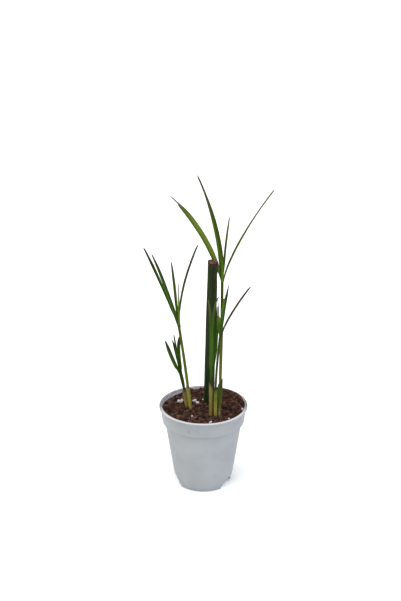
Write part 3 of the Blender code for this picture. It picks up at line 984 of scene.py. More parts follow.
class GrowthLine:
    """The centre line of a stem or leaf, sampled by its share t of the length."""

    STEPS = 48

    def __init__(self, start: Vector, growth: Growth) -> None:
        """Walks the line from its start.

        Args:
            start: where it begins.
            growth: how it leans.
        """
        self.growth = growth
        self.points = [start.copy()]
        for i in range(self.STEPS):
            along = self.frame_at((i + 0.5) / self.STEPS)[0]
            self.points.append(self.points[-1] + growth.length / self.STEPS * along)

    def frame_at(self, t: float) -> tuple[Vector, Vector, Vector]:
        """The directions at t: along the line, across it, and towards its inner side.

        Args:
            t: the share of the length.

        Returns:
            The directions.
        """
        growth = self.growth
        swing = max(t, 0.0) ** growth.bend
        lean = math.radians(growth.lean_base + (growth.lean_tip - growth.lean_base) * swing)
        outward = heading_vector(growth.heading)
        along = math.sin(lean) * outward + Vector((0.0, 0.0, math.cos(lean)))
        across = Vector((-outward.y, outward.x, 0.0))
        return along, across, along.cross(across)

    def point_at(self, t: float) -> Vector:
        """The point at t, carried on straight past either end.

        Args:
            t: the share of the length.

        Returns:
            The point.
        """
        held = min(max(t, 0.0), 1.0)
        i = min(int(held * self.STEPS), self.STEPS - 1)
        point = self.points[i].lerp(self.points[i + 1], held * self.STEPS - i)
        return point + (t - held) * self.growth.length * self.frame_at(t)[0]

    def ring(
        self, shell: Shell, t: float, share: float, reach: Callable[[float], float], sides: int,
        rise: Callable[[float, Vector], float] | None = None,
    ) -> list[int]:
        """Adds a closed ring of points round the line.

        Args:
            shell: the mesh that gets the points.
            t: where along the line.
            share: the share of the piece's length that the points carry.
            reach: the radius at an angle round the ring.
            sides: how many points.
            rise: how far a point is drawn up along the line, by its angle and spoke.

        Returns:
            The points' numbers.
        """
        along, across, inner = self.frame_at(t)
        centre = self.point_at(t)
        ring = []
        for i in range(sides):
            angle = math.tau * i / sides
            spoke = math.cos(angle) * across + math.sin(angle) * inner
            radius = reach(angle)
            up = rise(angle, spoke) if rise else 0.0
            grain = radius * rim_place(angle)
            grain.z = t * self.growth.length + up
            ring.append(shell.point(centre + radius * spoke + up * along, share, grain))
        return ring


@dataclass(frozen=True)
class Leaf:
    """One leaf of a whorl.

    Its widths are given at shares of its length. A torn leaf keeps only a thin strand along one
    edge past its `nick`, and its widths from there on are the strand's.
    """

    name: str
    growth: Growth
    widths: Profile
    tone: LeafTone
    roll: float = 0.0
    nick: float = 1.0
    strand_side: float = 1.0
    base_width: float = 1.7
    base_fold: float = 58.0
    tip_width: float = 0.5
    tip_twist: float = 10.0

    WHORL_RADIUS = 1.25
    WHORL_GAP = 0.4
    FOLD = 22.0
    FOLD_OPENS = 0.25
    ROLL_SETTLES = 0.2
    THICKNESS = 0.42
    EDGE_THICKNESS = 0.1
    KEEL = 0.12
    KEEL_WIDTH = 0.16
    KEEL_LEAST = 0.05
    KEEL_SOFTNESS = 0.14
    THINNING = 0.45
    THIN_BELOW = 0.45
    STEPS = 72
    ACROSS = 6
    ROOT_STEPS = 5
    ROOT_DEPTH = 1.6
    ROOT_LEAN = 0.35
    ROOT_CURL = 0.55
    CROWDING = 0.94
    TWIST_FROM = 0.75
    WANDER = 0.22
    WANDER_WAVES = 3.1
    SWAY = 5.0
    SWAY_WAVES = 2.6
    TEAR = 0.012
    CREASE = 60.0

    def half_width(self, t: float) -> float:
        """Half of the leaf's width at t, or of its strand's past the nick."""
        stops = ((0.0, self.base_width), *self.widths, (1.0, self.tip_width))
        return 0.5 * through(stops, t)

    def edges(self, t: float) -> tuple[float, float]:
        """Where the two edges are at t, measured from the centre line.

        Args:
            t: the share of the length.

        Returns:
            The lower and the upper edge.
        """
        if t <= self.nick:
            return -self.half_width(t), self.half_width(t)
        half = self.half_width(self.nick)
        strand = self.half_width(t)
        past = (t - self.nick) / (1.0 - self.nick)
        torn = ease((t - self.nick) / self.TEAR)
        middle = self.strand_side * (half - strand) * (1.0 - past) ** 2
        low = -half + torn * (middle - strand + half)
        high = half + torn * (middle + strand - half)
        return low, high

    def section(self, t: float) -> list[tuple[float, float, float, float]]:
        """The leaf's cross-section at t.

        Args:
            t: the share of the length.

        Returns:
            (across, up, side, upper) of each point of a closed ring, the upper face first.
        """
        opened = min(1.0, max(t, 0.0) / self.FOLD_OPENS)
        fold = math.radians(self.base_fold + (self.FOLD - self.base_fold) * ease(opened))
        low, high = self.edges(t)
        half = max(self.half_width(t), 1e-3)
        upper = []
        under = []
        for share in (i / self.ACROSS for i in range(-self.ACROSS, self.ACROSS + 1)):
            span = (low + high) / 2 + share * (high - low) / 2
            soft = self.KEEL_SOFTNESS * half
            lift = math.hypot(span, soft) - soft
            thick = self.EDGE_THICKNESS + (self.THICKNESS - self.EDGE_THICKNESS) * (1 - share**2)
            thick *= (1.0 - self.THINNING * max(t, 0.0)) * min(1.0, half / self.THIN_BELOW)
            near_keel = math.exp(-((span / (self.KEEL_WIDTH * half + self.KEEL_LEAST)) ** 2))
            keel = self.KEEL * near_keel * min(1.0, half)
            side = 0.5 + 0.5 * span / half
            across = span * math.cos(fold)
            up = lift * math.sin(fold)
            upper.append((across, up + thick / 2, side, 1.0))
            under.append((across, up - thick / 2 - keel, side, 0.0))
        return upper + under[::-1]

    def build(self, shoot_name: str, node: Vector, stem_along: Vector) -> Piece:
        """Makes the leaf.

        Args:
            shoot_name: the shoot it grows on.
            node: the top of the stem.
            stem_along: the stem's direction there.

        Returns:
            The leaf.
        """
        outward = heading_vector(self.growth.heading)
        start = node + self.WHORL_RADIUS * outward + Vector((0.0, 0.0, self.WHORL_GAP))
        line = GrowthLine(start, self.growth)
        shell = Shell()
        seed = sum(ord(letter) for letter in shoot_name + self.name) * 1.7
        rings = [*self.root_rings(shell, line, node, stem_along)]
        for i in range(self.STEPS):
            t = (i / self.STEPS) ** self.CROWDING
            along, across, inner = line.frame_at(t)
            turn = self.roll * min(1.0, t / self.ROLL_SETTLES)
            sway = noise.noise(Vector((t * self.SWAY_WAVES, seed, 0.0)))
            turn += self.SWAY * sway * ease(t * 4)
            turn += self.tip_twist * ease((t - self.TWIST_FROM) / (1.0 - self.TWIST_FROM))
            roll = Matrix.Rotation(math.radians(turn), 3, along)
            across = roll @ across
            inner = roll @ inner
            strayed = noise.noise(Vector((t * self.WANDER_WAVES, seed, 7.0)))
            drift = self.WANDER * ease(t * 3) * strayed
            centre = line.point_at(t) + drift * across
            rings.append(self.ring(shell, centre, across, inner, t))
        tip = shell.point(line.point_at(1.0), 1.0, Vector((0, 0, self.growth.length)))
        shell.loft(rings)
        shell.fan(rings[-1], tip)
        self.close_root(shell, rings[0])
        name, node_name = (f"{shoot_name}_{kind}_{self.name}" for kind in ("leaf", "bract"))
        return shell.to_piece(name, [self.tone.material()], self.CREASE, "leaf_blade", node_name)

    def ring(
        self, shell: Shell, centre: Vector, across: Vector, inner: Vector, t: float, narrow: float = 1.0
    ) -> list[int]:
        """Adds one cross-section of the leaf.

        Args:
            shell: the mesh that gets the points.
            centre: the middle of the keel.
            across: the direction across the leaf.
            inner: the direction towards its upper side.
            t: the share of the length.
            narrow: how much of the width is left.

        Returns:
            The points' numbers.
        """
        ring = []
        for span, up, side, upper in self.section(t):
            place = centre + narrow * span * across + up * inner
            grain = Vector((span, upper, t * self.growth.length))
            ring.append(shell.point(place, max(t, 0.0), grain, side))
        return ring

    def root_rings(
        self, shell: Shell, line: GrowthLine, node: Vector, stem_along: Vector
    ) -> Iterator[list[int]]:
        """Adds the folded root that comes up out of the stem and turns into the leaf.

        Args:
            shell: the mesh that gets the points.
            line: the leaf's centre line.
            node: the top of the stem.
            stem_along: the stem's direction there.

        Yields:
            The numbers of each ring's points.
        """
        along, across, inner = line.frame_at(0.0)
        end = line.point_at(0.0)
        inside = node - self.ROOT_DEPTH * stem_along + self.ROOT_LEAN * (end - node)
        control = end - self.ROOT_CURL * self.ROOT_DEPTH * along
        for i in range(self.ROOT_STEPS):
            s = i / self.ROOT_STEPS
            centre = (1 - s) ** 2 * inside + 2 * s * (1 - s) * control + s**2 * end
            yield self.ring(shell, centre, across, inner, 0.0, 0.55 + 0.45 * s)

    def close_root(self, shell: Shell, ring: Sequence[int]) -> None:
        """Closes the hidden end of the root with a strip of faces between its two sides.

        Args:
            shell: the leaf's mesh.
            ring: the numbers of the root's first ring.
        """
        for i in range(len(ring) // 2 - 1):
            j = len(ring) - 1 - i
            shell.faces.append((ring[i + 1], ring[i], ring[j], ring[j - 1]))


@dataclass(frozen=True)
class Sheath:
    """The sheath round the foot of a shoot.

    Its radii are given at heights along it, and its mouth is drawn up to a point on one side.
    """

    radii: Profile
    slant: float
    slant_heading: float
    finish: PaperySheath

    SIDES = 30
    STEPS = 34
    INNER_STEPS = 6
    WALL = 0.22
    THROAT_DEPTH = 9.0
    RIB = 0.035
    RIBS = 15
    RAGGED = 0.45
    SPLIT = 1.5
    SPLIT_FROM = 0.25
    THROAT_GAP = 0.12
    CREASE = 50.0

    def build(self, shoot_name: str, line: GrowthLine, stem_reach: Callable[[float], float]) -> Piece:
        """Makes the sheath.

        Args:
            shoot_name: the shoot that it belongs to.
            line: the shoot's centre line.
            stem_reach: the stem's radius at a share of the line.

        Returns:
            The sheath.
        """
        shell = Shell()
        top = self.radii[-1][0]
        slant_from = self.radii[-2][0]
        length = line.growth.length
        seed = sum(ord(letter) for letter in shoot_name) * 2.3

        def mouth_rise(angle: float, spoke: Vector) -> float:
            """How far the mouth is drawn up: slanted, ragged and split.

            Args:
                angle: the angle round the ring.
                spoke: the direction from the line to the point.

            Returns:
                The height.
            """
            bearing = math.atan2(spoke.y, spoke.x) - math.radians(self.slant_heading)
            drawn = self.slant * 0.5 * (1.0 + math.cos(bearing))
            ring_place = rim_place(angle) * 2.2
            ragged = self.RAGGED * noise.noise(ring_place + Vector((seed, 0, 0)))
            gape = noise.noise(ring_place * 2.1 + Vector((0, seed, 0))) - self.SPLIT_FROM
            split = self.SPLIT * max(0.0, gape)
            return drawn + ragged - 2.0 * split

        levels = [top * i / self.STEPS for i in range(self.STEPS + 1)]
        radii = [through(self.radii, distance) for distance in levels]
        ribs = [self.RIB] * len(levels)
        for i in range(self.INNER_STEPS):
            sunk = (i / (self.INNER_STEPS - 1)) ** 1.5
            distance = top - sunk * self.THROAT_DEPTH
            inside = min(radii[self.STEPS], through(self.radii, distance)) - self.WALL
            tight = stem_reach(distance / length) + self.THROAT_GAP
            levels.append(distance)
            radii.append(inside + sunk * (min(tight, inside) - inside))
            ribs.append(0.0)
        rings = [
            line.ring(
                shell, distance / length, distance / top,
                lambda angle: radius * (1.0 + rib * math.cos(self.RIBS * angle)), self.SIDES,
                lambda angle, spoke: ease((distance - slant_from) / (top - slant_from))
                * mouth_rise(angle, spoke),
            )
            for distance, radius, rib in zip(levels, radii, ribs)
        ]
        shell.loft(rings)
        shell.fan(rings[0], shell.point(line.point_at(0.0), 0.0, Vector()), before=True)
        shell.fan(rings[-1], shell.point(line.point_at((top - self.THROAT_DEPTH) / length), 0.5))
        names = (f"{shoot_name}_foot_sheath", [self.finish.material()])
        return shell.to_piece(*names, self.CREASE, "sheath_skin", f"{shoot_name}_sheath")


@dataclass(frozen=True)
class Shoot:
    """One shoot: where it stands, its stem, its sheath and its whorl of leaves."""

    name: str
    foot: tuple[float, float]
    growth: Growth
    stem_radii: Profile
    stem_finish: GreenCulm
    sheath: Sheath
    leaves: tuple[Leaf, ...]

    SIDES = 30
    STEPS = 90
    CORNER = 0.07
    RIB = 0.02
    RIBS = 15
    CROWN = ((0.35, 0.86), (0.6, 0.5))
    CROWN_HEIGHT = 0.65
    CREASE = 50.0

    def stem_reach(self, t: float) -> float:
        """The stem's radius at a share of its line."""
        return through(self.stem_radii, t)

    def build(self) -> Iterator[Piece]:
        """Makes the shoot's sheath, stem and leaves, one after another.

        Yields:
            Each piece.
        """
        start = Vector((*self.foot, PottingMix.LEVEL - PottingMix.PLANTED_DEPTH))
        line = GrowthLine(start, self.growth)
        yield self.sheath.build(self.name, line, self.stem_reach)
        yield self.build_stem(line)
        for leaf in self.leaves:
            yield leaf.build(self.name, line.point_at(1.0), line.frame_at(1.0)[0])

    def build_stem(self, line: GrowthLine) -> Piece:
        """Makes the stem: a soft three-cornered section with fine ribs and a rounded top.

        Args:
            line: the shoot's centre line.

        Returns:
            The stem.
        """
        shell = Shell()
        first = self.stem_radii[0][0]

        def section(angle: float) -> float:
            """The ribbed, three-cornered radius, round 1."""
            corners = 1.0 + self.CORNER * math.cos(3.0 * angle)
            return corners + self.RIB * math.cos(self.RIBS * angle)

        rings = []
        for i in range(self.STEPS + 1):
            t = first + (1.0 - first) * i / self.STEPS
            radius = self.stem_reach(t)
            rings.append(line.ring(shell, t, t, lambda angle: radius * section(angle), self.SIDES))
        crown = self.stem_reach(1.0)
        for height, share in self.CROWN:
            t = 1.0 + height * crown / line.growth.length
            rings.append(line.ring(shell, t, 1.0, lambda angle: crown * share, self.SIDES))
        shell.loft(rings)
        shell.fan(rings[0], shell.point(line.point_at(first), first), before=True)
        tip = line.point_at(1.0 + self.CROWN_HEIGHT * crown / line.growth.length)
        shell.fan(rings[-1], shell.point(tip, 1.0))
        names = (f"{self.name}_culm", [self.stem_finish.material()])
        return shell.to_piece(*names, self.CREASE, "young_stem_skin", f"{self.name}_stem")


@dataclass(frozen=True)
class OldStem:
    """The thick old stem: ribbed, a little dented, and sawn off across its top."""

    foot: tuple[float, float] = (5.0, 10.5)
    growth: Growth = Growth(147.5, 287, 3.0, 5.5)
    radii: Profile = (
        (0.0, 4.5), (0.12, 4.7), (0.5, 4.55), (0.8, 4.45), (0.9, 4.3), (0.97, 4.4), (1.0, 4.5)
    )
    sides: int = 132
    steps: int = 120
    ribs: int = 22
    rib_height: float = 0.11
    dent_depth: float = 0.45
    dent_at: float = 0.905
    dent_span: float = 0.028
    dent_heading: float = 335.0
    cut_rings: int = 16
    cut_sink: float = 0.7
    cut_ragged: float = 0.55
    cut_from: float = 0.985
    cut_middle: float = 0.3
    crease: float = 65.0

    def skin(self, t: float, line: GrowthLine) -> Callable[[float], float]:
        """The radius round the stem at t, with its ribs, its slow waves and its dent.

        Args:
            t: the share of the length.
            line: the stem's centre line.

        Returns:
            The radius as a function of the angle round the stem.
        """
        radius = through(self.radii, t)
        dent = self.dent_depth * math.exp(-(((t - self.dent_at) / self.dent_span) ** 2))
        across, inner = line.frame_at(t)[1:]
        towards = heading_vector(self.dent_heading)

        def reach(angle: float) -> float:
            """The radius at one angle.

            Args:
                angle: the angle round the stem.

            Returns:
                The radius.
            """
            place = rim_place(angle)
            rib = math.cos(self.ribs * angle + 0.6 * noise.noise(place * 1.5 + Vector((0, 0, t * 3))))
            strength = 0.6 + 0.8 * noise.noise(place * 2.0 + Vector((5.0, 0, t * 2.0)))
            wave = 0.16 * noise.noise(place * 0.9 + Vector((0, 9.0, t * 6.0)))
            facing = max(0.0, (place.x * across + place.y * inner).dot(towards))
            return radius + self.rib_height * strength * rib + wave - dent * facing**4

        return reach

    def build(self) -> Iterator[Piece]:
        """Makes the stem with its cut face.

        Yields:
            The stem.
        """
        start = Vector((*self.foot, PottingMix.LEVEL - PottingMix.PLANTED_DEPTH))
        line = GrowthLine(start, self.growth)
        shell = Shell()

        def ragged(angle: float, spoke: Vector) -> float:
            """How far the saw left the rim up."""
            place = rim_place(angle)
            return self.cut_ragged * noise.noise(place * 2.6) + 0.2 * noise.noise(place * 9.0)

        rings = []
        for i in range(self.steps + 1):
            t = i / self.steps
            drawn = ease((t - self.cut_from) / (1.0 - self.cut_from))
            rings.append(line.ring(
                shell, t, t, self.skin(t, line), self.sides,
                lambda angle, spoke: drawn * ragged(angle, spoke),
            ))
        shell.loft(rings)
        shell.fan(rings[0], shell.point(line.point_at(0.0)), before=True)
        self.cut_face(shell, line, rings[-1], ragged)
        finishes = [OldCulmSkin().material(), DriedPith().material()]
        yield shell.to_piece("old_stem_stump", finishes, self.crease, "old_stem_skin", "old_stem")

    def cut_face(
        self, shell: Shell, line: GrowthLine, rim: Sequence[int],
        ragged: Callable[[float, Vector], float],
    ) -> None:
        """Closes the top with a torn, sunken face of pith.

        Args:
            shell: the mesh that gets the face.
            line: the stem's centre line.
            rim: the numbers of the skin's top ring.
            ragged: the rim's height at an angle.
        """
        first_face = len(shell.faces)
        skin = self.skin(1.0, line)

        def rise(angle: float, spoke: Vector) -> float:
            """How high the pith stands at this share of the radius.

            Args:
                angle: the angle round the ring.
                spoke: the direction from the line to the point.

            Returns:
                The height.
            """
            place = rim_place(angle) * share * 4.5
            lumps = 0.5 * noise.noise(place * 0.8 + Vector((3, 3, 3)))
            lumps += 0.28 * noise.noise(place * 2.3)
            edge = ragged(angle, spoke) * share**3
            sink = self.cut_sink * min(1.0, (1.0 - share) * 5.0)
            return edge - sink * (1.0 - 0.45 * (1.0 - share)) + lumps * (1.0 - share**4)

        rings = [rim]
        for i in range(1, self.cut_rings):
            share = 1.0 - i / self.cut_rings
            rings.append(line.ring(shell, 1.0, 1.0, lambda angle: skin(angle) * share, self.sides, rise))
        shell.loft(rings)
        middle = shell.point(line.point_at(1.0) - Vector((0.0, 0.0, self.cut_middle)))
        shell.fan(rings[-1], middle)
        for face in range(first_face, len(shell.faces)):
            shell.face_finishes[face] = 1


@dataclass(frozen=True)
class NurseryPot:
    """The pot: a moulded tapering cup with a collar, a lip, a recessed foot and drain holes."""

    height: float = 76.0
    rim_radius: float = 40.0
    lip_height: float = 1.8
    edge_round: float = 0.5
    collar_top_radius: float = 38.5
    collar_foot_radius: float = 37.3
    collar_foot: float = 60.9
    collar_round: float = 0.9
    body_top_radius: float = 34.9
    step_rise: float = 0.5
    base_radius: float = 25.4
    foot_band_height: float = 2.2
    foot_band_step: float = 0.3
    foot_round: float = 0.8
    wall: float = 1.0
    floor: float = 1.2
    sectors: int = 240
    recesses: tuple[tuple[float, float, float], ...] = (
        (-21.0, 12.8, 8.5), (84.0, 9.0, 9.5), (194.0, 9.0, 9.5)
    )
    recess_panel: float = 19.5
    recess_arch_steps: int = 28
    recess_sill: float = 0.1
    lining_foot: float = 0.6
    cutter_reach: float = 45.0
    cutter_depth: float = 5.0
    drain_count: int = 6
    drain_radius: float = 2.5
    drain_ring: float = 12.5
    drain_sides: int = 40
    crease: float = 32.0

    FILLET_STEPS = 5
    HOLD = 0.25
    RUN = 2.5

    @classmethod
    def collar_middle(cls) -> tuple[float, float]:
        """The slope of the middle of the collar's wall, and its radius carried down to z = 0.

        Returns:
            The slope and the radius.
        """
        rise = cls.height - cls.lip_height - cls.collar_foot
        slope = (cls.collar_top_radius - cls.collar_foot_radius) / rise
        return slope, cls.collar_foot_radius - cls.wall / 2 - slope * cls.collar_foot

    @classmethod
    def foot_middle(cls) -> tuple[float, float]:
        """The line just inside the body's outer wall: its slope, and its radius at the base."""
        slope = (cls.body_top_radius - cls.base_radius) / cls.collar_foot
        return slope, cls.base_radius - 1.25 * cls.wall

    def body_radius(self, z: float) -> float:
        """The outer radius of the body below the collar."""
        taper = (self.body_top_radius - self.base_radius) / (self.collar_foot - self.step_rise)
        return self.base_radius + taper * z

    def outline(self) -> list[tuple[float, float]]:
        """The pot's turned outline.

        Returns:
            (radius, height) points from the middle of the base, up the outside and down the
            inside to the middle of the floor.
        """
        lip_foot = self.height - self.lip_height
        step_top = self.collar_foot + self.step_rise
        band = self.base_radius - self.foot_band_step
        inner_top = self.collar_top_radius - self.wall
        corners = (
            (0.0, 0.0, 0.0),
            (band - 0.2, 0.0, self.foot_round),
            (band + 0.05, self.foot_band_height, 0.2),
            (self.body_radius(self.foot_band_height + 0.5), self.foot_band_height + 0.5, 0.2),
            (self.body_top_radius, self.collar_foot - self.step_rise, 0.4),
            (self.collar_foot_radius - 0.1, self.collar_foot, self.collar_round),
            (self.collar_top_radius, lip_foot - 0.3, 0.5),
            (self.rim_radius - 0.1, lip_foot, 0.35),
            (self.rim_radius, self.height, self.edge_round),
            (inner_top, self.height, self.edge_round),
            (self.collar_foot_radius - self.wall, step_top + 0.6, 0.6),
            (self.body_top_radius - self.wall, self.collar_foot - self.step_rise, 0.4),
            (self.body_radius(self.floor) - self.wall, self.floor, 0.6),
            (0.0, self.floor, 0.0),
        )
        return list(self.held(list(self.rounded(corners))))

    def held(self, points: Sequence[tuple[float, float]]) -> Iterator[tuple[float, float]]:
        """Adds points close to both ends of each straight run, and along it, so it shades flat.

        Args:
            points: the rounded outline.

        Yields:
            The outline with its runs divided.
        """
        for start, end in zip(points, points[1:]):
            yield start
            run = Vector(end) - Vector(start)
            if run.length <= 3 * self.HOLD:
                continue
            pieces = max(1, round(run.length / self.RUN))
            stops = [self.HOLD, *(run.length * k / pieces for k in range(1, pieces)),
                     run.length - self.HOLD]
            for stop in stops:
                yield tuple(Vector(start) + run * (stop / run.length))
        yield points[-1]

    def rounded(self, corners: Sequence[tuple[float, float, float]]) -> Iterator[tuple[float, float]]:
        """Rounds the corners of an outline.

        Args:
            corners: (radius, height, size of the rounding) of each corner.

        Yields:
            The points of the rounded outline.
        """
        for i, (radius, z, size) in enumerate(corners):
            here = Vector((radius, z))
            if not size:
                yield radius, z
                continue
            before = Vector(corners[i - 1][:2]) - here
            after = Vector(corners[i + 1][:2]) - here
            size = min(size, before.length * 0.45, after.length * 0.45)
            start = here + before.normalized() * size
            end = here + after.normalized() * size
            for k in range(self.FILLET_STEPS + 1):
                s = k / self.FILLET_STEPS
                point = (1 - s) ** 2 * start + 2 * s * (1 - s) * here + s**2 * end
                yield point.x, point.y

    def turned(self) -> bmesh.types.BMesh:
        """Turns the outline round the pot's axis.

        Returns:
            The turned shape.
        """
        bm = bmesh.new()
        corners = [bm.verts.new((radius * MM, 0.0, z * MM)) for radius, z in self.outline()]
        sides = [bm.edges.new(pair) for pair in zip(corners, corners[1:])]
        bmesh.ops.spin(
            bm, geom=corners + sides, cent=(0, 0, 0), axis=(0, 0, 1), angle=math.tau,
            steps=self.sectors, use_duplicate=False, use_merge=True,
        )
        bmesh.ops.remove_doubles(bm, verts=bm.verts, dist=1e-6)
        return bm

    def arches(
        self, margin: float, inner_reach: float, foot: float, outer_reach: Callable[[float, float], float]
    ) -> bmesh.types.BMesh:
        """The arched prisms of the recesses, each made larger all round by a margin.

        Args:
            margin: how much larger.
            inner_reach: how far from the axis they start.
            foot: how low they reach.
            outer_reach: how far out they end, by the place across and the height.

        Returns:
            The prisms.
        """
        bm = bmesh.new()
        for heading, half_width, arch_height in self.recesses:
            half = half_width + margin
            height = arch_height + margin
            section = [(half, foot)]
            for i in range(self.recess_arch_steps + 1):
                angle = math.pi * i / self.recess_arch_steps
                rise = max(foot + self.recess_sill, height * math.sin(angle))
                section.append((half * math.cos(angle), rise))
            section.append((-half, foot))
            turn = Matrix.Rotation(math.radians(heading), 3, "Z")
            near = [bm.verts.new(turn @ Vector((inner_reach, y, z)) * MM) for y, z in section]
            far = [bm.verts.new(turn @ Vector((outer_reach(y, z), y, z)) * MM) for y, z in section]
            for i, j in enumerate((*range(1, len(section)), 0)):
                bm.faces.new((near[i], near[j], far[j], far[i]))
            bm.faces.new(reversed(near))
            bm.faces.new(far)
        return bm

    def drains(self) -> bmesh.types.BMesh:
        """The pegs that cut the drain holes in the floor.

        Returns:
            The pegs.
        """
        bm = bmesh.new()
        for i in range(self.drain_count):
            spoke = heading_vector(360.0 * i / self.drain_count)
            centre = (self.drain_ring * spoke + Vector((0, 0, self.floor / 2))) * MM
            bmesh.ops.create_cone(
                bm, cap_ends=True, segments=self.drain_sides, radius1=self.drain_radius * MM,
                radius2=self.drain_radius * MM, depth=3 * self.floor * MM,
                matrix=Matrix.Translation(centre),
            )
        return bm

    def combine(self, piece: Piece, bm: bmesh.types.BMesh, operation: str) -> None:
        """Joins a shape to the pot or cuts it out, and applies the result.

        Args:
            piece: the pot.
            bm: the shape.
            operation: UNION or DIFFERENCE.
        """
        bmesh.ops.recalc_face_normals(bm, faces=bm.faces)
        guide = cast("guide", bm)
        modifier = piece.modifiers.new("cut", "BOOLEAN")
        modifier.operation = operation
        modifier.object = guide
        depsgraph = bpy.context.evaluated_depsgraph_get()
        cut = bpy.data.meshes.new_from_object(piece.evaluated_get(depsgraph))
        piece.modifiers.clear()
        piece.data = cut
        bpy.data.objects.remove(guide)

    def build(self) -> Iterator[Piece]:
        """Makes the pot in one piece.

        Yields:
            The pot.
        """
        bm = self.turned()
        bmesh.ops.recalc_face_normals(bm, faces=bm.faces)
        piece = cast("nursery_pot", bm)

        def mid_wall(y: float, z: float) -> float:
            """How far out the middle of the wall is."""
            middle = self.body_radius(z) - self.wall / 2
            return math.sqrt(middle * middle - y * y)

        lining = self.arches(self.wall, self.recess_panel - self.wall, self.lining_foot, mid_wall)
        self.combine(piece, lining, "UNION")
        hollow = self.arches(0.0, self.recess_panel, -self.cutter_depth, lambda y, z: self.cutter_reach)
        self.combine(piece, hollow, "DIFFERENCE")
        self.combine(piece, self.drains(), "DIFFERENCE")
        piece.data.name = "nursery_pot"
        piece.data.materials.clear()
        piece.data.materials.append(MouldedPolypropylene().material())
        piece.data.shade_smooth()
        piece.data.set_sharp_from_angle(angle=math.radians(self.crease))
        yield hand_over(piece, "pot_plastic", "pot")


